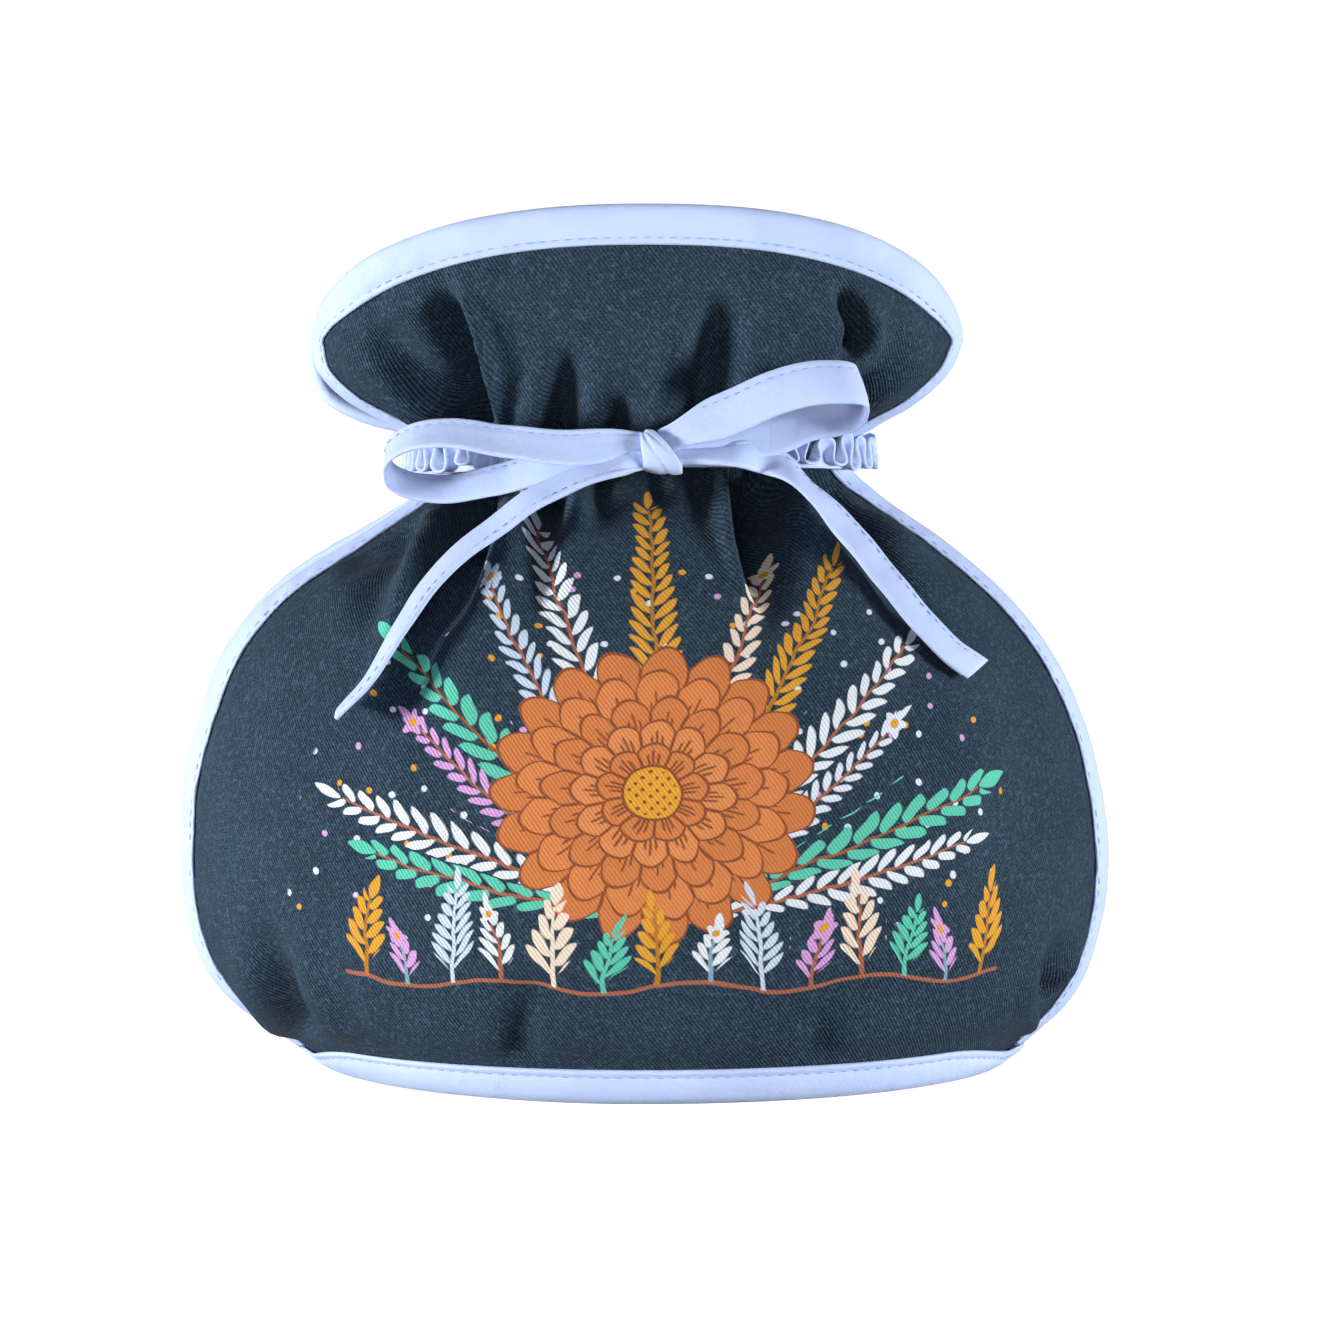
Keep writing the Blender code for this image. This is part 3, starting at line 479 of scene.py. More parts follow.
@dataclass
class PanelForm:
    """One panel's cloth as a height field over x and z, with its folds, in millimetres."""

    form: CosyForm
    face: Face
    folds: Sequence[Fold]
    tuck_seed: int
    tucks: int = 44
    # The least and the most of a tuck: depth, width, and reach above and below the neck.
    tuck_depths: tuple[float, float] = (1.2, 2.6)
    tuck_widths: tuple[float, float] = (1.1, 1.9)
    tuck_rises: tuple[float, float] = (6.0, 17.0)
    tuck_drops: tuple[float, float] = (7.0, 20.0)
    tuck_ease: float = 0.75  # how much shallower the tucks are behind the bow
    ease_reach: float = 0.5  # how far to each side they stay so, as a share of the cloth
    edge_width: float = 8.6
    edge_thickness: float = 1.6
    full_thickness: float = 5.2
    neck_thickness: float = 3.0
    plump_reach: float = 7.0
    # How unevenly the cloth hangs, slowly and quickly: each one's pitch and its height.
    slow_sway: tuple[float, float] = (62.0, 0.75)
    quick_sway: tuple[float, float] = (21.0, 0.22)
    pucker: float = 0.34
    pucker_pitch: float = 8.5
    ear_pinch: float = 0.3  # how much narrower the binding is at the ears
    ridge: float = 0.30  # how high the cloth rises beside a fold, as a share of its depth
    ridge_width: float = 3.5  # slopes wider than this raise a lower ridge
    fold_depth: float = 1.6

    def half_width(self, z: Array, side: Array) -> Array:
        """From the middle to the cloth's edge, on the spout's (-1) or handle's (1) side."""
        profile, spread = self.form.profile, self.form.spread
        extra = 1.0 if self.face is Face.BACK else 0.0
        left = profile["left"](z) + extra * spread["left"](z)
        right = profile["right"](z) + extra * spread["right"](z)
        return np.where(np.asarray(side) < 0, left, right) - self.form.edge_wrap

    def middle_y(self, x: Array, z: Array) -> Array:
        """The smooth middle surface of the cloth."""
        profile = self.form.profile
        gap = np.where(x < 0, profile["spout_gap"](z), profile["handle_gap"](z))
        across = np.abs(x) / self.half_width(z, x)
        forward = wrap_depth(across, profile["roundness"](z))
        return int(self.face) * (gap + (profile["depth"](z) - gap) * forward)

    def normal(self, x: Array, z: Array) -> Array:
        """Unit vectors out of the smooth surface, away from the pot."""
        step = 0.4
        slope_x = (self.middle_y(x + step, z) - self.middle_y(x - step, z)) / (2 * step)
        slope_z = (self.middle_y(x, z + step) - self.middle_y(x, z - step)) / (2 * step)
        away = np.stack([-slope_x, np.ones_like(slope_x), -slope_z], axis=-1)
        return unit(away * int(self.face))

    def point(self, x: Array, z: Array, out: Any = 0.0) -> Array:
        """Points of the smooth surface, that far out along its normal."""
        x, z = np.asarray(x, float), np.asarray(z, float)
        base = np.stack([x, self.middle_y(x, z), z], axis=-1)
        return base + self.normal(x, z) * np.asarray(out, float)[..., None]

    def place(self, share: Array, z: Array) -> Array:
        """The x of a share of the cloth at a height."""
        across = wrap_across(share, self.form.profile["roundness"](z))
        return np.sign(share) * across * self.half_width(z, share)

    def share(self, x: Array, z: Array) -> Array:
        """The place across the cloth, -1 at the spout's edge and 1 at the handle's."""
        across = np.abs(x) / self.half_width(z, x)
        return np.sign(x) * wrap_share(across, self.form.profile["roundness"](z))

    def cloth_length(self, z: Array, side: Array) -> Array:
        """About the length of cloth from the middle to one edge."""
        roundness = self.form.profile["roundness"](z)
        wide = self.half_width(z, side)
        deep = self.form.profile["depth"](z) / roundness
        return wide * wrap_length(roundness) * np.sqrt((1 + (deep / wide) ** 2) / 2)

    def sway(self, x: Array, z: Array) -> Array:
        """How unevenly the cloth hangs, the same for a panel and the strips on it."""
        places = np.stack([x, self.middle_y(x, z), z], axis=-1)
        shape = places.shape[:-1]
        places = places.reshape(-1, 3)
        slow = self.slow_sway[1] * unevenness(places, self.slow_sway[0], 5 + int(self.face))
        quick = self.quick_sway[1] * unevenness(places, self.quick_sway[0], 15 + int(self.face))
        held = smooth_step(z, 10.0, 30.0) * (1 - 0.7 * bell(z - self.form.neck, 12.0))
        held = held * (1 - np.abs(self.share(x, z)) ** 3)
        return (slow + quick).reshape(shape) * held

    def folded(self, x: Array, z: Array) -> Array:
        """How far the named folds press the cloth in (below 0) or let it rise beside them."""
        total = np.zeros_like(x)
        for fold in self.folds:
            line = np.asarray(fold.path, float)
            curve = Curve(lengths_along(line[:, :2]), line)
            line = curve(np.linspace(0.0, curve.places[-1], 6 * len(line)))
            reach = 4 * max(fold.left, fold.right)
            low, high = line[:, :2].min(axis=0) - reach, line[:, :2].max(axis=0) + reach
            near = (x > low[0]) & (x < high[0]) & (z > low[1]) & (z < high[1])
            total[near] += self.one_fold(x[near], z[near], line, fold)
        return total

    def one_fold(self, x: Array, z: Array, line: Array, fold: Fold) -> Array:
        """What one fold does at places near it.

        Args:
            x: The places' x.
            z: Their heights.
            line: The fold's valley, finely.
            fold: The fold.

        Returns:
            Millimetres out of the smooth surface.
        """
        off = np.full(x.shape, 1e9)
        depth, side = np.zeros_like(x), np.ones_like(x)
        for (x0, z0, d0), (x1, z1, d1) in zip(line, line[1:]):
            run = math.hypot(x1 - x0, z1 - z0)
            way_x, way_z = (x1 - x0) / run, (z1 - z0) / run
            t = np.clip(((x - x0) * way_x + (z - z0) * way_z) / run, 0.0, 1.0)
            dx, dz = x - (x0 + (x1 - x0) * t), z - (z0 + (z1 - z0) * t)
            far = np.hypot(dx, dz)
            nearer = far < off
            off = np.where(nearer, far, off)
            depth = np.where(nearer, d0 + (d1 - d0) * t, depth)
            side = np.where(nearer, np.sign(dx), side)
        width = np.where(side < 0, fold.left, fold.right)
        across = off / width
        crest = self.ridge * np.minimum(1.0, (self.ridge_width / width) ** 2)
        return depth * (crest * np.exp(-((across - 2.0) ** 2)) - np.exp(-(across**2)))

    def tucked(self, x: Array, z: Array) -> Array:
        """The small gathers that the drawn neck presses into the cloth."""
        rng = np.random.default_rng(self.tuck_seed)
        share = self.share(x, z)
        length = self.cloth_length(z, x)
        above = z - self.form.neck
        total = np.zeros_like(x)
        for i in range(self.tucks):
            centre = -0.97 + 1.94 * (i + 0.5 + rng.uniform(-0.3, 0.3)) / self.tucks
            deep, width = rng.uniform(*self.tuck_depths), rng.uniform(*self.tuck_widths)
            up, down = rng.uniform(*self.tuck_rises), rng.uniform(*self.tuck_drops)
            drift = rng.uniform(-0.05, 0.05)
            reach = np.where(above > 0, up, down)
            off = (share - centre - drift * above / 50.0) * length / (width + 0.05 * np.abs(above))
            total -= deep * np.exp(-((above / reach) ** 2)) * np.exp(-off * off)
        return total * (1 - self.tuck_ease * bell(share, self.ease_reach))

    def puckered(self, x: Array, z: Array, from_edge: Array) -> Array:
        """The ripples that the sewn edge draws into the cloth beside it."""
        places = np.stack([x, self.middle_y(x, z), z], axis=-1).reshape(-1, 3)
        ripple = unevenness(places, self.pucker_pitch, 31 + int(self.face)).reshape(x.shape)
        return self.pucker * ripple * bell(from_edge - self.edge_width - 2.5, 5.0)

    def lift(self, x: Array, z: Array, from_edge: Array) -> Array:
        """All that moves the panel's cloth off its smooth surface."""
        share = self.share(x, z)
        seam = self.form.seam(share)
        width = self.edge_width
        held = smooth_step(z - seam, 0.5, 6.0) * smooth_step(from_edge, width, width + 9.0)
        near = smooth_step(z - seam, 0.5, 4.0) * smooth_step(from_edge, width - 1.5, width + 2.0)
        folds = (self.fold_depth * self.folded(x, z) + self.tucked(x, z)) * held
        return folds + self.puckered(x, z, from_edge) * near + self.sway(x, z)

    def thickness(self, x: Array, z: Array, from_edge: Array) -> Array:
        """Of the padded cloth, pinched in its strips and pressed at the neck."""
        press = bell(z - self.form.neck, 12.0)
        full = self.full_thickness - (self.full_thickness - self.neck_thickness) * press
        plump = smooth_step(from_edge, self.edge_width, self.edge_width + self.plump_reach)
        foot = smooth_step(z - self.form.seam(self.share(x, z)), 0.5, 7.0)
        return self.edge_thickness + (full - self.edge_thickness) * plump * foot

    def crown(self, x: Array) -> Array:
        """The collar's top edge, a full arch from ear to ear."""
        wide = self.half_width(np.full_like(x, self.form.ear), x)
        return self.form.ear + (self.form.crown - self.form.ear) * self.form.arch(x / wide)

    def outline(self) -> tuple[Array, Array]:
        """The side and top edges, finely, up the spout's side, over and down."""
        up = np.arange(self.form.band_end + 0.3, self.form.ear, 0.5)
        turn = np.linspace(0.0, math.pi, 401)
        side = np.where(turn < math.pi / 2, -1.0, 1.0)
        over = -np.cos(turn) * self.half_width(np.full_like(turn, self.form.ear), side)
        left = -self.half_width(up, np.full_like(up, -1.0))
        right = self.half_width(up, np.full_like(up, 1.0))[::-1]
        x = np.concatenate([left, over, right])
        return x, np.concatenate([up, self.crown(over), up[::-1]])

    def rim(self, step: float) -> Rim:
        """Stations along the edge.

        Args:
            step: The distance between them.

        Returns:
            Their places, and for each millimetre in from the edge the change in x and z.
        """
        x, z = self.outline()
        along = lengths_along(self.point(x, z))
        at = np.linspace(0.0, along[-1], int(along[-1] / step) + 1)
        x, z = np.interp(at, along, x), np.interp(at, along, z)
        line = self.point(x, z)
        ahead = unit(np.gradient(line, axis=0))
        for _ in range(3):
            inner = (ahead[:-2] + ahead[1:-1] + ahead[2:]) / 3
            ahead = unit(np.concatenate([ahead[:1], inner, ahead[-1:]]))
        normal = self.normal(x, z)
        inward = unit(np.cross(normal, ahead)) * int(self.face)
        level = unit(np.cross([0.0, 0.0, 1.0], normal))
        level *= -np.sign(level[:, :1] * x[:, None])
        low = 1 - smooth_step(z - self.form.band_end, 0.5, 8.0)[:, None]
        inward = unit(inward * (1 - low) + level * low)
        pinch = 1 - self.ear_pinch * bell(z - self.form.ear, 9.0)
        return Rim(x, z, inward[:, 0] * pinch, inward[:, 2] * pinch, float(along[-1]))

    def on_rim(self, rim: Rim, inward: Array, out: Array) -> Array:
        """Points over a rim's stations.

        Args:
            rim: The stations.
            inward: Millimetres in from the edge, one for each point of a section.
            out: Millimetres out of the cloth, one for each point, or one row per station.

        Returns:
            One section of points for each station.
        """
        x = rim.x[:, None] + rim.in_x[:, None] * inward[None, :]
        z = rim.z[:, None] + rim.in_z[:, None] * inward[None, :]
        return self.point(x, z, out + self.sway(x, z))


# ------------------------------------------------------------------------ meshes
def mesh_of(bm: bmesh.types.BMesh, name: str) -> bpy.types.Mesh:
    """A new mesh of what was worked, which is then let go."""
    mesh = bpy.data.meshes.new(name)
    bm.to_mesh(mesh)
    bm.free()
    return mesh


def grid_places(mesh: bpy.types.Mesh) -> Array:
    """The vertices of a mesh as rows of x, y and z."""
    places = np.empty(len(mesh.vertices) * 3, np.float32)
    mesh.vertices.foreach_get("co", places)
    return places.reshape(-1, 3).astype(float)


def set_places(mesh: bpy.types.Mesh, places: Array, middle_x: float) -> None:
    """Moves the vertices to places in millimetres, with the footprint's middle taken off x."""
    places = places - np.array([middle_x, 0.0, 0.0])
    mesh.vertices.foreach_set("co", (places * MM).astype(np.float32).ravel())


def corner_vertices(mesh: bpy.types.Mesh) -> Array:
    """The vertex at each corner of the faces."""
    corners = np.empty(len(mesh.loops), np.int32)
    mesh.loops.foreach_get("vertex_index", corners)
    return corners


def finish_mesh(mesh: bpy.types.Mesh, weld: bool, caps: bool) -> None:
    """Closes a mesh and turns its faces out.

    Args:
        mesh: The mesh, changed in place.
        weld: Whether points at one place become one.
        caps: Whether open ends are filled.
    """
    bm = bmesh.new()
    bm.from_mesh(mesh)
    if weld:
        bmesh.ops.remove_doubles(bm, verts=bm.verts, dist=1e-6)
    if caps:
        ends = [edge for edge in bm.edges if edge.is_boundary]
        bmesh.ops.holes_fill(bm, edges=ends, sides=0)
    bmesh.ops.recalc_face_normals(bm, faces=bm.faces)
    bm.to_mesh(mesh)
    bm.free()
    mesh.shade_smooth()


def set_cloth_map(mesh: bpy.types.Mesh, places: Array) -> None:
    """Gives a mesh a map named cloth, in millimetres of cloth for each vertex."""
    layer = mesh.uv_layers.new(name="cloth")
    layer.data.foreach_set("uv", places[corner_vertices(mesh)].astype(np.float32).ravel())


def add_piece(
    name: str, mesh: bpy.types.Mesh, materials: Sequence[bpy.types.Material]
) -> bpy.types.Object:
    """Puts a mesh into the scene as a piece that rides on the frame.

    Args:
        name: The piece's name.
        mesh: Its mesh, in place.
        materials: Its finishes, in the order that its faces name them.

    Returns:
        The piece.
    """
    for material in materials:
        mesh.materials.append(material)
    piece = bpy.data.objects.new(name, mesh)
    bpy.context.scene.collection.objects.link(piece)
    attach(piece, "root")
    return piece


def strip_mesh(name: str, sections: Array, ring: bool, middle_x: float) -> bpy.types.Mesh:
    """A closed tube of equal sections, as an open length or a ring.

    Args:
        name: The mesh's name.
        sections: Points in millimetres, by section, then round each section.
        ring: Whether the last section joins the first.
        middle_x: The footprint's middle, taken off every x.

    Returns:
        The mesh, with a cloth map of millimetres along and round.
    """
    count, around = sections.shape[:2]
    runs = count if ring else count - 1
    bm = bmesh.new()
    bmesh.ops.create_grid(bm, x_segments=runs, y_segments=around, size=1.0)
    mesh = mesh_of(bm, name)
    at = grid_places(mesh)
    i = np.rint((at[:, 0] + 1) / 2 * runs).astype(int)
    j = np.rint((at[:, 1] + 1) / 2 * around).astype(int)
    along = lengths_along((closed(sections) if ring else sections).mean(axis=1))
    girth = lengths_along(closed(sections[count // 2]))
    set_cloth_map(mesh, np.stack([along[i], girth[j]], axis=1))
    set_places(mesh, sections[i % count, j % around], middle_x)
    finish_mesh(mesh, weld=True, caps=not ring)
    return mesh


def stitch_mesh(
    name: str, middles: Array, alongs: Array, outs: Array, size: Sequence[float], middle_x: float
) -> bpy.types.Mesh:
    """One mesh of many small rounded stitches.

    Args:
        name: The mesh's name.
        middles: Each stitch's middle, in millimetres.
        alongs: The direction of each.
        outs: The direction out of the cloth under each.
        size: Half its length, width and height, in millimetres.
        middle_x: The footprint's middle, taken off every x.

    Returns:
        The mesh.
    """
    bm = bmesh.new()
    bmesh.ops.create_uvsphere(bm, u_segments=8, v_segments=5, radius=1.0)
    mesh = mesh_of(bm, name)
    ball = grid_places(mesh) * np.array(size) * MM
    bm = bmesh.new()
    for _ in middles:
        bm.from_mesh(mesh)
    bm.to_mesh(mesh)
    bm.free()
    alongs, outs = unit(alongs), unit(outs)
    turns = np.stack([alongs, np.cross(outs, alongs), outs], axis=1)
    places = (middles - np.array([middle_x, 0.0, 0.0]))[:, None] * MM + ball[None] @ turns
    mesh.vertices.foreach_set("co", places.astype(np.float32).ravel())
    finish_mesh(mesh, weld=False, caps=False)
    return mesh


# ------------------------------------------------------------------------ shader nodes
class Wire:
    """A socket of a material, with arithmetic."""

    def __init__(self, maker: Maker, socket: Any) -> None:
        """Wraps a socket of the maker's material."""
        self.maker, self.socket = maker, socket

    def math(self, operation: str, *others: Any) -> Wire:
        """This number and the others through one Math node."""
        return self.maker.math(operation, self, *others)

    def __add__(self, other: Any) -> Wire:
        """The sum."""
        return self.math("ADD", other)

    def __sub__(self, other: Any) -> Wire:
        """The difference."""
        return self.math("SUBTRACT", other)

    def __rsub__(self, other: Any) -> Wire:
        """The difference, from a number."""
        return self.maker.math("SUBTRACT", other, self)

    def __mul__(self, other: Any) -> Wire:
        """The product."""
        return self.math("MULTIPLY", other)

    def __truediv__(self, other: Any) -> Wire:
        """The quotient."""
        return self.math("DIVIDE", other)

    def size(self) -> Wire:
        """The number without its sign."""
        return self.math("ABSOLUTE")

    def sign(self) -> Wire:
        """-1, 0 or 1."""
        return self.math("SIGN")

    def floor(self) -> Wire:
        """The whole number below."""
        return self.math("FLOOR")

    def fraction(self) -> Wire:
        """What is above the whole number below."""
        return self.math("FRACT")

    def sine(self) -> Wire:
        """The sine."""
        return self.math("SINE")

    def cosine(self) -> Wire:
        """The cosine."""
        return self.math("COSINE")

    def least(self, other: Any) -> Wire:
        """The lower of two numbers."""
        return self.math("MINIMUM", other)

    def most(self, other: Any) -> Wire:
        """The higher of two numbers."""
        return self.math("MAXIMUM", other)

    def inked(self) -> Wire:
        """1 where the number is above 0 and 0 where it is below, with a print's soft edge."""
        return self.ramp(-PRINT_EDGE, PRINT_EDGE)

    def ramp(self, low: float, high: float) -> Wire:
        """0 at low, 1 at high, straight between and level outside."""
        return self.maker.node(
            "ShaderNodeMapRange", {"clamp": True},
            {"Value": self, "From Min": low, "From Max": high},
        )


class Maker:
    """Makes one material and its nodes."""

    def __init__(self, name: str, settings: dict[str, Any]) -> None:
        """Starts a material.

        Args:
            name: Its name.
            settings: The shader's sockets that are the same all over the surface.
        """
        self.material = bpy.data.materials.new(name)
        self.material.use_nodes = True
        self.nodes = self.material.node_tree.nodes
        self.shader = self.nodes["Principled BSDF"]
        for socket, value in settings.items():
            self.shader.inputs[socket].default_value = value

    def node(
        self, kind: str, settings: dict[str, Any] | None = None,
        sockets: dict[Any, Any] | None = None, out: Any = 0,
    ) -> Wire:
        """Adds a node.

        Args:
            kind: Its type.
            settings: Its own settings, made first.
            sockets: Values or wires for its inputs, by name or number.
            out: The output that is wanted.

        Returns:
            That output.
        """
        made = self.nodes.new(kind)
        for name, value in (settings or {}).items():
            setattr(made, name, value)
        for name, value in (sockets or {}).items():
            if isinstance(value, Wire):
                self.material.node_tree.links.new(value.socket, made.inputs[name])
            else:
                made.inputs[name].default_value = value
        return Wire(self, made.outputs[out])

    def math(self, operation: str, *values: Any) -> Wire:
        """One Math node."""
        return self.node("ShaderNodeMath", {"operation": operation}, dict(enumerate(values)))

    def mix(self, share: Any, first: Any, second: Any, blend: str = "MIX") -> Wire:
        """A colour between two colours."""
        return self.node(
            "ShaderNodeMix", {"data_type": "RGBA", "blend_type": blend, "clamp_factor": True},
            {0: share, 6: colour(first), 7: colour(second)}, 2,
        )

    def pick(self, place: Wire, values: Sequence[Sequence[float]]) -> Wire:
        """The triple of numbers that stands at a whole number's place in a list.

        Args:
            place: From 0 up to the list's length.
            values: The triples, each number from 0 to 1.

        Returns:
            The triple, as a colour.
        """
        count = len(values)
        picked = self.node("ShaderNodeValToRGB", None, {0: place / float(count)})
        ramp = picked.socket.node.color_ramp
        ramp.interpolation = "CONSTANT"
        ramp.elements[1].position = 1.0
        for i in range(1, count):
            ramp.elements.new(i / count)
        for element, value in zip(ramp.elements, [*values, values[-1]]):
            element.color = (*value, 1.0)
        return picked

    def parts(self, triple: Wire) -> tuple[Wire, Wire, Wire]:
        """The three numbers of a triple."""
        node = self.node("ShaderNodeSeparateXYZ", None, {0: triple}).socket.node
        return tuple(Wire(self, out) for out in node.outputs)

    def noise(self, vector: Wire, scale: float, detail: float = 2.0, roughness: float = 0.5) -> Wire:
        """Cloudy noise between 0 and 1."""
        return self.node(
            "ShaderNodeTexNoise", None,
            {"Vector": vector, "Scale": scale, "Detail": detail, "Roughness": roughness},
        )

    def object_place(self) -> Wire:
        """The place on the object, in metres."""
        return self.node("ShaderNodeTexCoord", None, None, "Object")

    def cloth(self) -> tuple[Wire, Wire]:
        """The place on the cloth, in millimetres along and across."""
        along, across, _ = self.parts(self.node("ShaderNodeUVMap", {"uv_map": "cloth"}))
        return along, across

    def dress(self, sockets: dict[str, Wire]) -> bpy.types.Material:
        """Links wires to the shader's sockets and returns the material."""
        for name, wire in sockets.items():
            self.material.node_tree.links.new(wire.socket, self.shader.inputs[name])
        return self.material


def colour(value: Any) -> Any:
    """A colour with its alpha, or a wire as it is."""
    return value if isinstance(value, Wire) else (*value[:3], 1.0)


def paint(code: str) -> tuple[float, float, float]:
    """The linear colour of a screen colour such as 22333f."""
    parts = [int(code[i:i + 2], 16) / 255 for i in (0, 2, 4)]
    red, green, blue = (p / 12.92 if p <= 0.04045 else ((p + 0.055) / 1.055) ** 2.4 for p in parts)
    return red, green, blue


@dataclass(frozen=True)
class TwillFinish:
    """Brushed navy cotton twill."""

    name: str = "navy_twill_cloth"
    dark: str = "0f1d29"
    light: str = "4c667c"
    wale: float = 0.74  # the pitch of the ridges, in millimetres
    slant: float = 57.0
    wander: float = 0.16  # how far the ridges stray
    float_length: float = 1.15  # a thread's length over the others, as a share of the wale
    float_shift: float = 2.4  # how far the threads of one ridge lie behind the last one's
    slub_turn: float = 0.75
    # How much of the lighter shade each adds, and how much is taken off the sum.
    ridge_tone: float = 0.26
    speck_tone: float = 0.55
    slub_tone: float = 0.40
    cloud_tone: float = 0.20
    tone_drop: float = 0.20

    def weave(self, maker: Maker) -> tuple[Wire, Wire]:
        """The twill's colour and its height.

        Args:
            maker: The material's maker.

        Returns:
            The colour, and the height from 0 to 1.
        """
        along, up = maker.cloth()
        turn = math.radians(self.slant)
        wander = maker.noise(maker.object_place(), 300.0, 1.0)
        across = along * math.sin(turn) + up * math.cos(turn) + wander * self.wander
        run = up * math.sin(turn) - along * math.cos(turn)
        wales = (across * (2 * math.pi / self.wale)).sine() * 0.5 + 0.5
        behind = (across / self.wale).floor() * self.float_shift
        floats = (run * (2 * math.pi / (self.wale * self.float_length)) + behind).sine()
        height = wales * (floats * 0.16 + 0.84)
        specks = maker.noise(maker.object_place(), 2600.0, 2.0, 0.7)
        clouds = maker.noise(maker.object_place(), 45.0, 3.0)
        turned = maker.node(
            "ShaderNodeVectorRotate", {"rotation_type": "Y_AXIS"},
            {0: maker.object_place(), 3: self.slub_turn},
        )
        slubs = maker.noise(turned, 900.0, 2.0, 0.6)
        tone = height * self.ridge_tone + specks.ramp(0.35, 0.8) * self.speck_tone
        tone = tone + slubs.ramp(0.5, 0.75) * self.slub_tone + clouds * self.cloud_tone
        return maker.mix(tone - self.tone_drop, paint(self.dark), paint(self.light)), height

    @staticmethod
    def settings() -> dict[str, Any]:
        """The shader's settings for brushed cotton."""
        return {
            "Roughness": 0.88, "Sheen Weight": 0.03, "Sheen Roughness": 0.5, "Specular IOR Level": 0.12,
        }

    @staticmethod
    def relief(maker: Maker, height: Wire) -> Wire:
        """The twill's ridges as a bump."""
        return maker.node("ShaderNodeBump", None, {"Strength": 0.6, "Distance": 0.00022, "Height": height})

    def make(self) -> bpy.types.Material:
        """The plain twill."""
        maker = Maker(self.name, self.settings())
        shade, height = self.weave(maker)
        return maker.dress({"Base Color": shade, "Normal": self.relief(maker, height)})


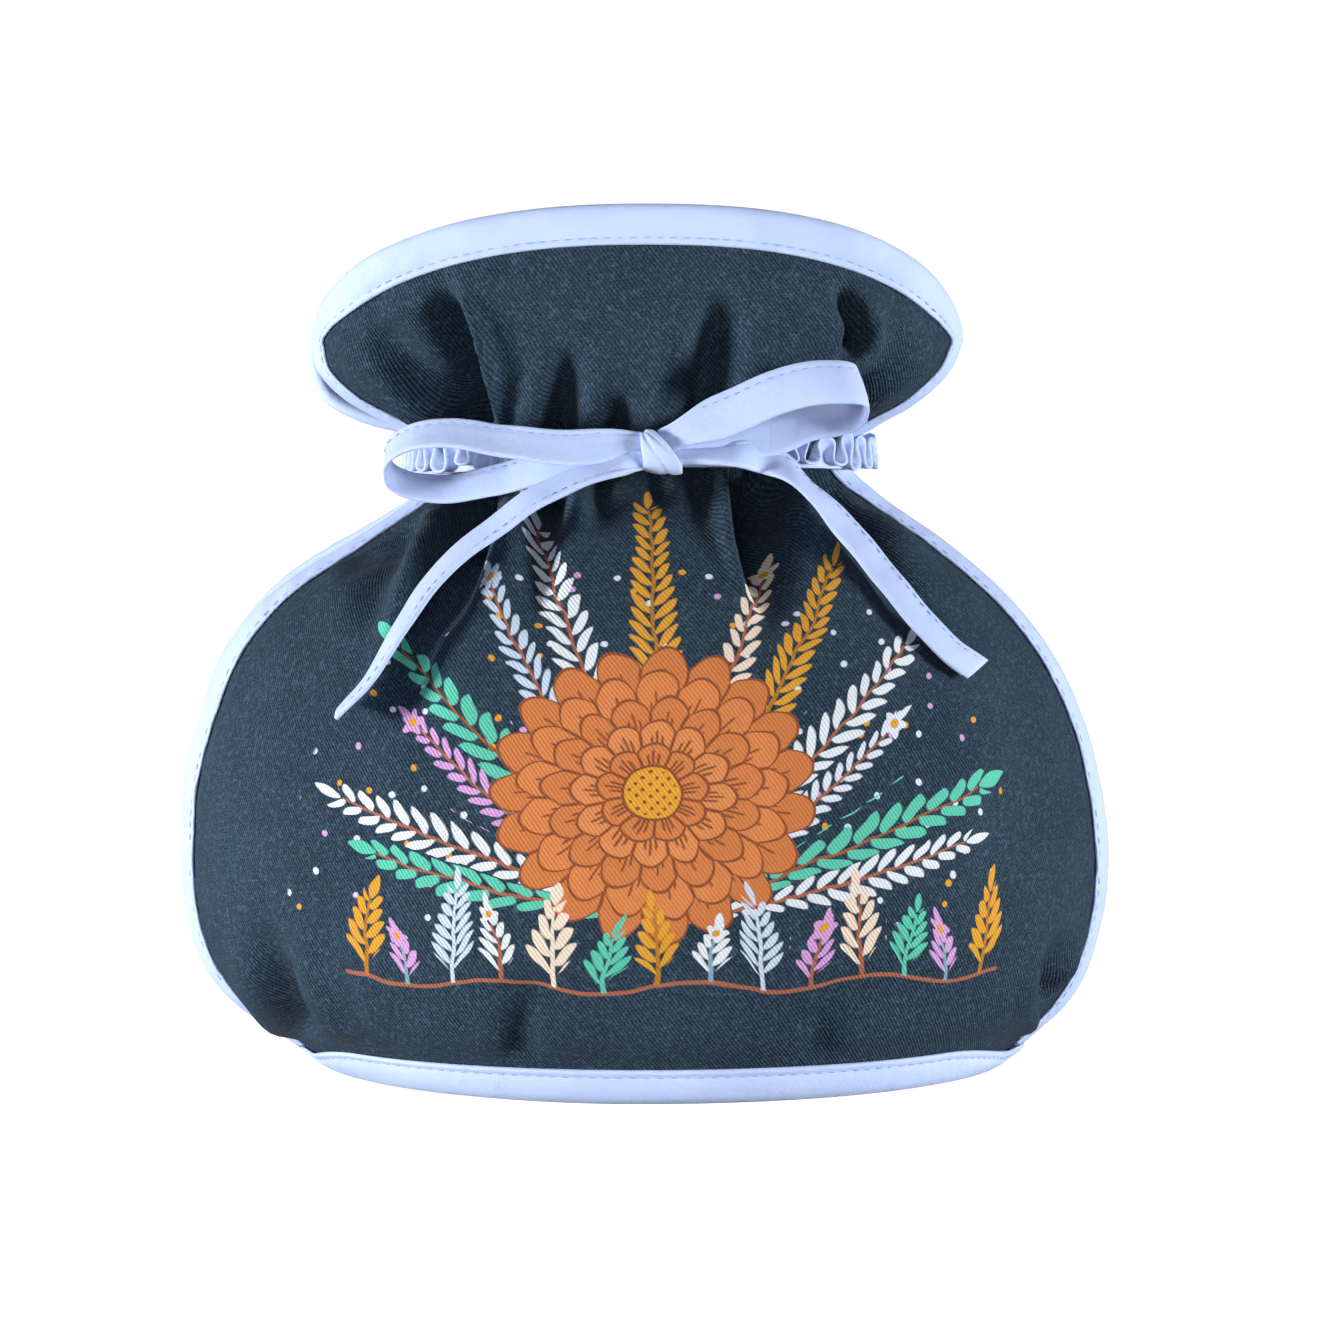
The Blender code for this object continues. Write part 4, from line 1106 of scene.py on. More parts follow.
@dataclass(frozen=True)
class FlowerPrint:
    """A folk-style flower print: one big bloom before a fan of sprays, over a low meadow."""

    name: str = "printed_navy_cloth"
    bloom_at: tuple[float, float] = (2.0, 73.0)
    fan_at: tuple[float, float] = (3.0, 44.0)
    fan_start: float = 4.0
    fan_step: float = 13.23
    meadow_start: float = -66.0
    meadow_step: float = 10.6
    meadow_foot: float = 30.0
    meadow_sway: float = 1.4
    meadow_line: float = 0.45  # half the drawn ground line's width
    slant: float = 1.15  # how far a leaf climbs for each millimetre that it reaches out
    outline: str = "8a4a26"
    pollen: str = "e0a02c"
    # The bloom's heart: how far its rim, its disc and its dots reach.
    heart_rim: float = 6.2
    heart: float = 5.6
    heart_dots: float = 5.0
    # Loose seeds: how many stand in a millimetre's row, their size, and where they are strewn.
    seed_density: float = 0.105
    seed_size: float = 0.75
    seeds_from: float = 38.0
    seeds_to: float = 86.0
    seeds_above: float = 42.0
    wobble: float = 2.4  # how far the drawing strays from its exact lines
    strength: float = 0.85  # how much of the cloth the ink covers

    def draw_sprig(
        self, maker: Maker, base: Wire, spot: tuple[Wire, Wire, Any], place: Wire,
        sprigs: Sequence[Sprig],
    ) -> Wire:
        """Draws the leafy stem of a list that stands at a place.

        Args:
            maker: The material's maker.
            base: The colour underneath.
            spot: Millimetres up the stem and across it, and half the room that it has.
            place: The stem's place in the list, with a fraction.
            sprigs: The list.

        Returns:
            The colour with the stem drawn on it.
        """
        up, across, room = spot
        sizes = [(s.height / TALLEST, s.bend / MOST_BEND + 0.5, s.leaf / LONGEST_LEAF) for s in sprigs]
        tall, bend, leaf = maker.parts(maker.pick(place, sizes))
        sizes = [
            (s.width / WIDEST_LEAF, s.pitch / WIDEST_PITCH, s.blossom / WIDEST_BLOSSOM) for s in sprigs
        ]
        wide, pitch, blossom = maker.parts(maker.pick(place, sizes))
        tall, leaf = tall * TALLEST, leaf * LONGEST_LEAF
        bend = bend * MOST_BEND - MOST_BEND / 2
        wide, pitch, blossom = wide * WIDEST_LEAF, pitch * WIDEST_PITCH, blossom * WIDEST_BLOSSOM
        inks = maker.pick(place, [paint(s.ink) for s in sprigs])
        stems = maker.pick(place, [paint(s.stem) for s in sprigs])
        inside = place.ramp(0.0, 0.001) * (len(sprigs) - place).ramp(0.0, 0.001)
        share = up / tall
        off = across - bend * share * share
        side = off.size()
        root = up - side * self.slant
        cell = ((root + off.sign() * pitch * 0.25) / pitch).fraction() - 0.5
        aside = cell.size() * pitch * 0.62
        long = (leaf * (1.15 - root / tall * 0.75)).least(room * 1.2)
        reach = (side * 1.25 / long).ramp(0.0, 1.0)
        half = wide * (reach * math.pi).sine()
        held = (root - tall * 0.12).ramp(0.0, 0.2) * (tall - root).ramp(0.0, 0.2)
        leaves = (half - aside).inked() * held * half.ramp(0.1, 0.3)
        tip = ((up - tall) / leaf * 1.1).ramp(0.0, 1.0)
        point = wide * (tip * math.pi).sine()
        leaves = leaves.most((point - side).inked() * point.ramp(0.1, 0.3))
        stem = (0.55 - share * 0.28 - side).inked() * up.ramp(0.0, 0.2) * (tall - up).ramp(0.0, 0.2)
        base = maker.mix(stem * inside, base, stems)
        base = maker.mix(leaves * inside, base, inks)
        from_tip = maker.math("SQRT", (up - tall) * (up - tall) + off * off)
        turn = maker.math("ARCTAN2", up - tall, off)
        petals = (blossom * ((turn * 5.0).cosine() * 0.24 + 0.80) - from_tip).inked()
        base = maker.mix(petals * inside * blossom.ramp(0.1, 0.2), base, inks)
        heart = (blossom * 0.34 - from_tip).inked()
        return maker.mix(heart * inside * blossom.ramp(0.1, 0.2), base, paint(self.pollen))

    def draw_bloom(self, maker: Maker, base: Wire, p: Wire, q: Wire) -> Wire:
        """Draws the layered bloom.

        Args:
            maker: The material's maker.
            base: The colour underneath.
            p: Millimetres across the cloth.
            q: Millimetres up the cloth.

        Returns:
            The colour with the bloom drawn on it.
        """
        dx, dy = p - self.bloom_at[0], q - self.bloom_at[1]
        radius = maker.math("SQRT", dx * dx + dy * dy)
        angle = maker.math("ARCTAN2", dy, dx)
        for ring in BLOOM:
            cell = (angle * (ring.count / (2 * math.pi)) + ring.turn).fraction() - 0.5
            side = cell.size()
            arc = radius * (2 * math.pi / ring.count)
            edge = ring.reach - side * side * ring.reach * 0.62
            inside = (edge - radius).inked()
            base = maker.mix(inside, base, paint(ring.ink))
            rim = (0.62 - (edge - radius)).inked()
            split = (0.34 - (0.5 - side) * arc).inked()
            long = (ring.reach * 0.84 - radius - side * ring.reach * 0.5).ramp(-0.2, 0.2)
            veins = (0.26 - ((side - 0.17).size() * arc)).inked()
            veins = veins.most((0.24 - side * arc).inked()) * long
            lines = rim.most(split).most(veins) * inside
            base = maker.mix(lines, base, paint(self.outline))
        base = maker.mix((self.heart_rim - radius).inked(), base, paint(self.outline))
        base = maker.mix((self.heart - radius).inked(), base, paint(self.pollen))
        grain = (dx * 2.4).sine() * (dy * 2.4).sine()
        dots = grain.ramp(0.55, 0.7) * (self.heart_dots - radius).inked()
        return maker.mix(dots, base, paint(self.outline))

    def draw_seeds(self, maker: Maker, base: Wire, p: Wire, q: Wire, radius: Wire) -> Wire:
        """Draws small loose seeds between the sprays.

        Args:
            maker: The material's maker.
            base: The colour underneath.
            p: Millimetres across the cloth.
            q: Millimetres up the cloth.
            radius: Millimetres from the foot of the fan.

        Returns:
            The colour with the seeds drawn on it.
        """
        spot = maker.node("ShaderNodeCombineXYZ", None, {0: p, 1: q})
        settings, sockets = {"voronoi_dimensions": "2D"}, {"Vector": spot, "Scale": self.seed_density}
        far = maker.node("ShaderNodeTexVoronoi", settings, sockets, "Distance") / self.seed_density
        tint = maker.parts(maker.node("ShaderNodeTexVoronoi", settings, sockets, "Color"))[0]
        inside = (radius - self.seeds_from).ramp(0.0, 1.0) * (self.seeds_to - radius).ramp(0.0, 1.0)
        inside = inside * (q - self.seeds_above).ramp(0.0, 1.0)
        warm = maker.mix(tint.ramp(0.7, 0.71), paint("d6a0dc"), paint(self.pollen))
        inks = maker.mix(tint.ramp(0.45, 0.46), paint("dfe7f6"), warm)
        return maker.mix((self.seed_size - far).inked() * inside, base, inks)

    def make(self) -> bpy.types.Material:
        """The printed twill."""
        weave = TwillFinish()
        maker = Maker(self.name, weave.settings())
        cloth, height = weave.weave(maker)
        p, q = maker.cloth()
        slow, quick = (maker.noise(maker.object_place(), scale, 1.0) - 0.5 for scale in (120.0, 90.0))
        p, q = p + slow * self.wobble, q + quick * self.wobble
        dx, dy = p - self.fan_at[0], q - self.fan_at[1]
        radius = maker.math("SQRT", dx * dx + dy * dy)
        place = (maker.math("ARCTAN2", dy, dx) * (180 / math.pi) - self.fan_start) / self.fan_step
        turn = (place.fraction() - 0.5) * math.radians(self.fan_step)
        half_step = math.radians(self.fan_step / 2)
        fan = (radius * turn.cosine(), radius * turn.sine(), radius * math.tan(half_step))
        ink = self.draw_seeds(maker, cloth, p, q, radius)
        ink = self.draw_sprig(maker, ink, fan, place, FAN)
        ink = self.draw_bloom(maker, ink, p, q)
        place = (p - self.meadow_start) / self.meadow_step
        ground = (p * 0.16).sine() * self.meadow_sway + self.meadow_foot
        across = (place.fraction() - 0.5) * self.meadow_step
        inside = place.ramp(0.0, 0.05) * (len(MEADOW) - place).ramp(0.0, 0.05)
        line = (self.meadow_line - (q - ground).size()).inked() * inside
        ink = maker.mix(line, ink, paint("a8654a"))
        ink = self.draw_sprig(maker, ink, (q - ground, across, self.meadow_step / 2), place, MEADOW)
        shade = maker.mix(self.strength, cloth, ink)
        # Painted shade and light of the weave: the printed colour is made darker in the twill's grooves and
        # a little lighter on its ridges, by the weave's height.
        tone = height * 0.30 + 0.78
        weave_shading = maker.node("ShaderNodeCombineColor", None, {0: tone, 1: tone, 2: tone})
        shade = maker.mix(1.0, shade, weave_shading, "MULTIPLY")
        return maker.dress({"Base Color": shade, "Normal": weave.relief(maker, height)})


@dataclass(frozen=True)
class CottonFinish:
    """Pale blue plain-woven cotton."""

    name: str = "pale_blue_cloth"
    pale: str = "bfd0f1"
    deep: str = "a4b8e8"
    thread: float = 0.46

    def make(self) -> bpy.types.Material:
        """The woven cotton."""
        maker = Maker(self.name, {
            "Roughness": 0.74, "Sheen Weight": 0.25, "Sheen Roughness": 0.35, "Specular IOR Level": 0.3,
        })
        along, across = maker.cloth()
        slub = maker.noise(maker.object_place(), 300.0, 2.0)
        warp = ((along + across) * (2 * math.pi / self.thread) + slub * 3.0).sine()
        weft = ((along - across) * (2 * math.pi / self.thread) + slub * 3.0).sine()
        height = warp * weft * 0.5 + 0.5
        clouds = maker.noise(maker.object_place(), 90.0, 3.0)
        tone = height * 0.35 + clouds * 0.5 + slub * 0.15
        shade = maker.mix(tone, paint(self.deep), paint(self.pale))
        creases = maker.noise(maker.object_place(), 210.0, 3.0, 0.6)
        fine = maker.node("ShaderNodeBump", None, {"Strength": 0.35, "Distance": 0.00012, "Height": height})
        bump = maker.node(
            "ShaderNodeBump", None,
            {"Strength": 0.5, "Distance": 0.0007, "Height": creases, "Normal": fine},
        )
        return maker.dress({"Base Color": shade, "Normal": bump})


@dataclass(frozen=True)
class ThreadFinish:
    """Sewing thread a few shades deeper than the cotton."""

    name: str = "blue_thread"
    dark: str = "7f97d6"
    light: str = "9db2e6"

    def make(self) -> bpy.types.Material:
        """The thread."""
        maker = Maker(self.name, {"Roughness": 0.55, "Sheen Weight": 0.2})
        grain = maker.noise(maker.object_place(), 3000.0, 1.0)
        return maker.dress({"Base Color": maker.mix(grain, paint(self.dark), paint(self.light))})


@dataclass(frozen=True)
class FloorFinish:
    """A plain pale studio floor."""

    name: str = "pale_floor"
    glow: float = 0.94  # enough of its own light to stay white all round the cosy

    def make(self) -> bpy.types.Material:
        """The floor's paint."""
        maker = Maker(self.name, {
            "Roughness": 0.9, "Specular IOR Level": 0.1,
            "Emission Color": (1.0, 1.0, 1.0, 1.0), "Emission Strength": self.glow,
        })
        grain = maker.noise(maker.object_place(), 8.0)
        return maker.dress({"Base Color": maker.mix(grain, (0.96, 0.96, 0.96), (0.98, 0.98, 0.98))})


@dataclass
class Finishes:
    """Every material that the pieces share."""

    twill: bpy.types.Material = field(init=False)
    printed: bpy.types.Material = field(init=False)
    cotton: bpy.types.Material = field(init=False)
    thread: bpy.types.Material = field(init=False)

    def __post_init__(self) -> None:
        """Makes them."""
        self.twill = TwillFinish().make()
        self.printed = FlowerPrint().make()
        self.cotton = CottonFinish().make()
        self.thread = ThreadFinish().make()


# ------------------------------------------------------------------------ pieces
@dataclass
class PaddedPanel:
    """One padded panel, worked as a fine grid over its cloth."""

    form: PanelForm
    finishes: Finishes
    columns: int = 220
    rows: int = 170
    lower_rows: float = 0.60  # the share of the rows that lies under the collar
    collar_drop: float = 8.0  # how far under the neck those rows end
    edge_share: float = 0.5  # how much closer the columns stand at the edges
    fill: float = 0.55

    def grid_to_cloth(self, u: Array, v: Array) -> tuple[Array, Array]:
        """Places of the grid on the cloth.

        Args:
            u: From -1 at the spout's edge to 1 at the handle's.
            v: From 0 at the foot to 1 at the crown.

        Returns:
            Each place's x and z.
        """
        form = self.form.form
        share = (1 - self.edge_share) * u + self.edge_share * np.sin(u * math.pi / 2)
        heights = [form.foot, form.neck - self.collar_drop, form.ear]
        level = np.interp(v, [0.0, self.lower_rows, 1.0], heights)
        across = wrap_across(share, form.profile["roundness"](level))
        climb = np.clip((level - form.neck) / (form.ear - form.neck), 0.0, 1.0)
        across = np.sign(share) * across
        z = level + (form.crown - form.ear) * form.arch(across) * climb
        return across * self.form.half_width(z, share), z

    def from_edge(self, x: Array, z: Array) -> Array:
        """How far places on the cloth are from its side and top edges."""
        edge_x, edge_z = self.form.outline()
        edge = self.form.point(edge_x[::2], edge_z[::2])
        tree = kdtree.KDTree(len(edge))
        for i, place in enumerate(edge):
            tree.insert(place, i)
        tree.balance()
        return np.array([tree.find(place)[2] for place in self.form.point(x, z)])

    def cloth_height(self, z: Array) -> Array:
        """The length of cloth from the foot up to a height, down the middle."""
        heights = np.linspace(0.0, self.form.form.crown + 10.0, 400)
        depth = self.form.form.profile["depth"](heights)
        return np.interp(z, heights, lengths_along(np.stack([heights, depth], axis=1)))

    @staticmethod
    def outer_faces(mesh: bpy.types.Mesh, layer: Array) -> Array:
        """1 for each face of the outer cloth, from each vertex's layer, and 0 for the others."""
        starts = np.empty(len(mesh.polygons), np.int32)
        mesh.polygons.foreach_get("loop_start", starts)
        corners = corner_vertices(mesh)[np.stack([starts + k for k in range(4)])]
        return (layer[corners].min(axis=0) > 0.5).astype(np.int32)

    def build(self, name: str, node: str) -> bpy.types.Object:
        """Makes the panel.

        Args:
            name: The piece's name.
            node: The CAD node that it stands for.

        Returns:
            The piece.
        """
        bm = bmesh.new()
        bmesh.ops.create_grid(bm, x_segments=self.columns, y_segments=self.rows, size=1.0)
        grown = bmesh.ops.extrude_face_region(bm, geom=bm.faces[:], use_keep_orig=True)
        raised = [item for item in grown["geom"] if isinstance(item, bmesh.types.BMVert)]
        bmesh.ops.translate(bm, vec=(0.0, 0.0, 1.0), verts=raised)
        mesh = mesh_of(bm, name)
        at = grid_places(mesh)
        x, z = self.grid_to_cloth(at[:, 0], (at[:, 1] + 1) / 2)
        edge = self.from_edge(x, z)
        way = at[:, 2] * 2 - 1
        out = self.form.lift(x, z, edge) + way * self.form.thickness(x, z, edge) / 2
        along = self.form.share(x, z) * self.form.cloth_length(z, x)
        set_cloth_map(mesh, np.stack([along, self.cloth_height(z)], axis=1))
        set_places(mesh, self.form.point(x, z, out), self.form.form.middle_x)
        finish_mesh(mesh, weld=False, caps=False)
        if self.form.face is Face.FRONT:
            mesh.polygons.foreach_set("material_index", self.outer_faces(mesh, at[:, 2]))
        piece = add_piece(name, mesh, [self.finishes.twill, self.finishes.printed])
        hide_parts(node)
        return piece


@dataclass
class BiasBinding:
    """The blue strip folded over a panel's side and top edges, with its topstitching."""

    form: PanelForm
    finishes: Finishes
    step: float = 1.3
    stitch_pitch: float = 3.1
    stitch_inset: float = 6.5
    stitch_height: float = 1.56
    lining: float = 0.95  # the section's points further out than this are its outer faces
    # The cloth's ripples: each one's seed, pitch, height and how much it runs aslant.
    ripples: tuple[tuple[int, float, float, float], ...] = (
        (41, 11.0, 0.16, 0.2), (43, 5.2, 0.10, 0.9),
    )
    # The strip's section: millimetres in from the cloth's edge, and out of its middle.
    section: tuple[tuple[float, float], ...] = (
        (8.20, 1.15), (7.98, 1.60), (7.40, 1.76), (6.85, 1.58), (6.50, 1.46), (6.15, 1.58),
        (5.40, 1.82), (4.10, 2.00), (2.70, 2.04), (1.30, 1.94), (0.20, 1.70), (-0.70, 1.20),
        (-1.20, 0.60), (-1.30, 0.00), (-1.20, -0.60), (-0.70, -1.20), (0.20, -1.70),
        (1.30, -1.94), (2.70, -2.04), (4.10, -2.00), (5.40, -1.82), (6.15, -1.58),
        (6.50, -1.46), (6.85, -1.58), (7.40, -1.76), (7.98, -1.60), (8.20, -1.15),
        (7.70, -0.90), (4.00, -0.90), (0.00, -0.85), (-0.40, -0.45), (-0.40, 0.45),
        (0.00, 0.85), (4.00, 0.90), (7.70, 0.90),
    )

    def build(self, name: str, node: str) -> list[bpy.types.Object]:
        """Makes the strip and its stitches.

        Args:
            name: The strip's name.
            node: The CAD node that it stands for.

        Returns:
            The strip, then its stitching.
        """
        rim = self.form.rim(self.step)
        inward, out = np.array(self.section).T
        outward = np.sign(out) * (np.abs(out) > self.lining)
        across = np.clip(inward, 0.0, 9.0) / 9.0
        stations = np.stack([rim.x, rim.z], axis=1)
        ripple = np.zeros((len(rim.x), len(out)))
        for seed, pitch, height, aslant in self.ripples:
            places = (stations[:, None, :] + inward[None, :, None] * aslant).reshape(-1, 2)
            ripple += unevenness(places, pitch, seed).reshape(ripple.shape) * height
        swell = outward * ripple * np.sin(np.pi * across * 0.86)
        sections = self.form.on_rim(rim, inward, out + swell)
        mesh = strip_mesh(name, sections, False, self.form.form.middle_x)
        strip = add_piece(name, mesh, [self.finishes.cotton])
        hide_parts(node)
        stitching = self.stitch(name + "_stitching", rim)
        return [strip, stitching]

    def stitch(self, name: str, rim: Rim) -> bpy.types.Object:
        """The topstitching on both faces of the strip."""
        middles, alongs, outs = [], [], []
        at = np.arange(self.stitch_pitch, rim.length - 2.0, self.stitch_pitch)
        places = np.linspace(0.0, rim.length, len(rim.x))
        picked = Rim(*(np.interp(at, places, column) for column in rim[:4]), rim.length)
        inward = np.array([self.stitch_inset])
        for height in (self.stitch_height, -self.stitch_height):
            line = self.form.on_rim(picked, inward, np.array([height]))[:, 0]
            above = self.form.on_rim(picked, inward, np.array([height * 2]))[:, 0]
            middles.append(line)
            alongs.append(np.gradient(line, axis=0))
            outs.append(above - line)
        mesh = stitch_mesh(
            name, np.concatenate(middles), np.concatenate(alongs), np.concatenate(outs),
            STITCH, self.form.form.middle_x,
        )
        return add_piece(name, mesh, [self.finishes.thread])


@dataclass
class HemBand:
    """The wide blue strip folded under both panels' feet, as one ring that stands flat."""

    front: PanelForm
    back: PanelForm
    finishes: Finishes
    step: float = 1.5
    half_length: float = 130.0  # about half the length of one panel's foot
    stitch_pitch: float = 3.1
    stitch_drop: float = -1.75
    stitch_out: tuple[float, float] = (2.28, 4.0)  # the stitches, and a line further out
    # The section: shares of its height above the cloth's foot, millimetres more, and out.
    section: tuple[tuple[float, float, float], ...] = (
        (1.0, 0.20, 1.90), (1.0, -0.05, 2.36), (1.0, -0.75, 2.50), (1.0, -1.35, 2.34),
        (1.0, -1.75, 2.20), (1.0, -2.15, 2.34), (0.55, 0.0, 2.72), (0.30, 0.0, 2.80),
        (0.0, 0.50, 2.70), (0.0, -0.60, 2.40), (0.0, -1.50, 1.75), (0.0, -2.0, 0.90),
        (0.0, -2.0, 0.00), (0.0, -2.0, -0.90), (0.0, -1.50, -1.75), (0.0, -0.60, -2.40),
        (0.0, 0.50, -2.70), (0.30, 0.0, -2.80), (0.55, 0.0, -2.72), (1.0, -2.15, -2.34),
        (1.0, -1.35, -2.34), (1.0, -0.05, -2.36), (1.0, 0.20, -1.90), (1.0, -0.30, -1.60),
        (0.4, 0.0, -1.60), (0.0, 0.0, -1.50), (0.0, -0.40, -0.70), (0.0, -0.40, 0.70),
        (0.0, 0.0, 1.50), (0.4, 0.0, 1.60), (1.0, -0.30, 1.60),
    )

    def run(self, panel: PanelForm, share: Array, ratio: Array, more: Array, out: Array) -> Array:
        """Points of the strip over one panel's foot.

        Args:
            panel: The panel.
            share: Places across its cloth, one for each section.
            ratio: For each point of a section, its share of the strip's height.
            more: Millimetres further up the cloth.
            out: Millimetres out of the cloth.

        Returns:
            One section of points for each share.
        """
        foot, seam = self.front.form.foot, self.front.form.seam(share)
        low = panel.point(panel.place(share, np.full_like(share, foot)), np.full_like(share, foot))
        high = panel.point(panel.place(share, seam), seam)
        low_out = panel.normal(low[:, 0], low[:, 2])
        high_out = panel.normal(high[:, 0], high[:, 2])
        up = unit(high - low)
        tall = np.linalg.norm(high - low, axis=1)[:, None]
        rise = ratio[None, :] * tall + more[None, :]
        lean = np.clip(rise / tall, 0.0, 1.0)[..., None]
        away = unit(low_out[:, None] * (1 - lean) + high_out[:, None] * lean)
        points = low[:, None] + up[:, None] * rise[..., None] + away * out[None, :, None]
        points[..., 2] = np.maximum(points[..., 2], 0.0)
        return points

    def ring(self, ratio: Array, more: Array, out: Array) -> Array:
        """The sections all round: the front from left to right, then the back."""
        shares = np.linspace(-1.0, 1.0, int(2 * self.half_length / self.step))
        front = self.run(self.front, shares, ratio, more, out)
        back = self.run(self.back, shares[::-1], ratio, more, out)
        joints = []
        for one, other in ((front[-1], back[0]), (back[-1], front[0])):
            joints.append(np.stack([one + (other - one) * t for t in (0.25, 0.5, 0.75)]))
        return np.concatenate([front, joints[0], back, joints[1]])

    def build(self, name: str, node: str) -> list[bpy.types.Object]:
        """Makes the ring and its stitches.

        Args:
            name: The ring's name.
            node: The CAD node that it stands for.

        Returns:
            The ring, then its stitching.
        """
        ratio, more, out = np.array(self.section).T
        sections = self.ring(ratio, more, out)
        mesh = strip_mesh(name, sections, True, self.front.form.middle_x)
        band = add_piece(name, mesh, [self.finishes.cotton])
        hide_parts(node)
        lines = closed(self.ring(np.ones(2), np.full(2, self.stitch_drop), np.array(self.stitch_out)))
        along = lengths_along(lines[:, 0])
        at = np.arange(0.0, along[-1] - self.stitch_pitch / 2, self.stitch_pitch)
        middles, above = read_at(at, along, lines[:, 0]), read_at(at, along, lines[:, 1])
        mesh = stitch_mesh(
            name + "_stitching", middles, np.roll(middles, -1, axis=0) - np.roll(middles, 1, axis=0),
            above - middles, STITCH, self.front.form.middle_x,
        )
        stitching = add_piece(name + "_stitching", mesh, [self.finishes.thread])
        # The band is wider in front than at its ends.
        return [band, stitching]


@dataclass
class NeckFrill:
    """The gathered casing round the neck, whose free edge runs in small waves."""

    front: PanelForm
    back: PanelForm
    finishes: Finishes
    waves: int = 42
    steps: int = 24
    thickness: float = 0.7
    roundness: float = 0.98  # of its plan, rounder than the cloth that it stands on
    crowding: float = 1.1  # how unevenly the waves follow each other
    crowding_pitch: float = 0.4
    unlike: float = 0.20  # how unlike in size they are
    unlike_pitch: float = 0.16
    least_flat: float = 10.0
    lift: float = 2.4  # how much higher it runs across the front and the back
    tilt: float = 0.6  # how much higher it runs on the right than round the neck
    sides: tuple[float, float] = (1.1, 0.9)  # how much wider it stands left and right
    # Out over the frill: its height from the neck, how far it stands outside the cloth at
    # the sides and in front, and how far its waves swing out, droop and crowd sideways.
    rises: tuple[tuple[float, float, float, float, float, float], ...] = (
        (-4.0, 4.6, 7.4, 0.0, 0.0, 0.0),
        (-3.0, 4.8, 7.7, 0.0, 0.3, 0.0),
        (-2.0, 5.1, 8.1, 0.1, 1.0, 0.1),
        (-1.1, 5.8, 8.5, 0.2, 1.8, 0.4),
        (-0.6, 6.7, 9.0, 0.3, 2.4, 0.8),
        (-0.2, 7.7, 9.4, 0.3, 2.9, 1.1),
        (0.0, 8.7, 9.7, 0.3, 3.3, 1.35),
        (0.1, 9.6, 10.0, 0.3, 3.5, 1.45),
    )

    def loop(self, height: float, beside: float, before: float, count: int) -> Array:
        """Even points round the neck at one height, from the spout's side by the front."""
        form = self.front.form
        corners = []
        for panel in (self.front, self.back):
            share = np.linspace(-1.0, 1.0, 161)
            tall = np.full_like(share, form.neck + height)
            roundness = np.full_like(share, self.roundness)
            across = wrap_across(share, roundness)
            wide = panel.half_width(tall, share) + beside * np.where(share < 0, *self.sides)
            deep = form.profile["depth"](tall) + before
            gaps = form.profile["spout_gap"](tall), form.profile["handle_gap"](tall)
            gap = np.where(share < 0, *gaps)
            y = int(panel.face) * (gap + (deep - gap) * wrap_depth(across, roundness))
            half = np.stack([np.sign(share) * wide * across, y], axis=1)
            corners.append(half if panel.face is Face.FRONT else half[::-1])
        line = np.concatenate([*corners, corners[0][:1]])
        along = lengths_along(line)
        return read_at(np.linspace(0.0, along[-1], count, endpoint=False), along, line)

    def build(self, name: str, node: str) -> bpy.types.Object:
        """Makes the frill.

        Args:
            name: The piece's name.
            node: The CAD node that it stands for.

        Returns:
            The piece.
        """
        count = self.waves * self.steps
        k = np.arange(count)
        circle = np.stack([np.cos(2 * np.pi * k / count), np.sin(2 * np.pi * k / count)], axis=1)
        drift = self.crowding * unevenness(circle, self.crowding_pitch, 61)
        phase = 2 * np.pi * self.waves * k / count + drift
        size = 1.0 + self.unlike * unevenness(circle, self.unlike_pitch, 67)
        wave = np.cos(phase) * size
        crowd = np.sin(2 * phase) * np.minimum(size, 1.0)
        lines, quarter = [], self.steps // 4
        for height, beside, before, swing, droop, sideways in self.rises:
            flat = self.loop(height, beside, before, count)
            ahead = unit(np.roll(flat, -quarter, axis=0) - np.roll(flat, quarter, axis=0))
            outward = np.stack([ahead[:, 1], -ahead[:, 0]], axis=1)
            flat = flat + outward * (swing * wave)[:, None] + ahead * (sideways * crowd)[:, None]
            level = self.front.form.neck + self.tilt * outward[:, 0] + self.lift * outward[:, 1] ** 2
            tall = level + height - droop * wave
            lines.append(np.column_stack([flat, tall]))
        rises = np.stack(lines, axis=1)
        ahead = np.roll(rises, -1, axis=0) - np.roll(rises, 1, axis=0)
        up = np.gradient(rises, axis=1)
        ways = unit(np.cross(ahead, up))
        half = self.thickness / 2
        lip = rises[:, -1] + unit(up[:, -1]) * half
        sections = np.concatenate([
            rises + ways * half, lip[:, None], (rises - ways * half)[:, ::-1],
        ], axis=1)
        mesh = strip_mesh(name, sections, True, self.front.form.middle_x)
        frill = add_piece(name, mesh, [self.finishes.cotton])
        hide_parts(node)
        # Half the girth of the first section, or least_flat if that is more, is worked out and not kept;
        # the base is shorter than the free edge.
        girth = lengths_along(closed(sections[0]))[-1]
        max(girth / 2, self.least_flat) * MM
        return frill


class Run(NamedTuple):
    """One run of the ribbon, from its start to its end.

    It has its middle line's points and a direction across each. Two flags say whether its
    start and its end are drawn together in the knot. One edge of its cut end runs past the
    other by the cut, and it lies as wide as its spread, a share of the ribbon's width.
    """

    points: Array
    across: Array
    pinches: tuple[bool, bool]
    cut: float
    spread: float


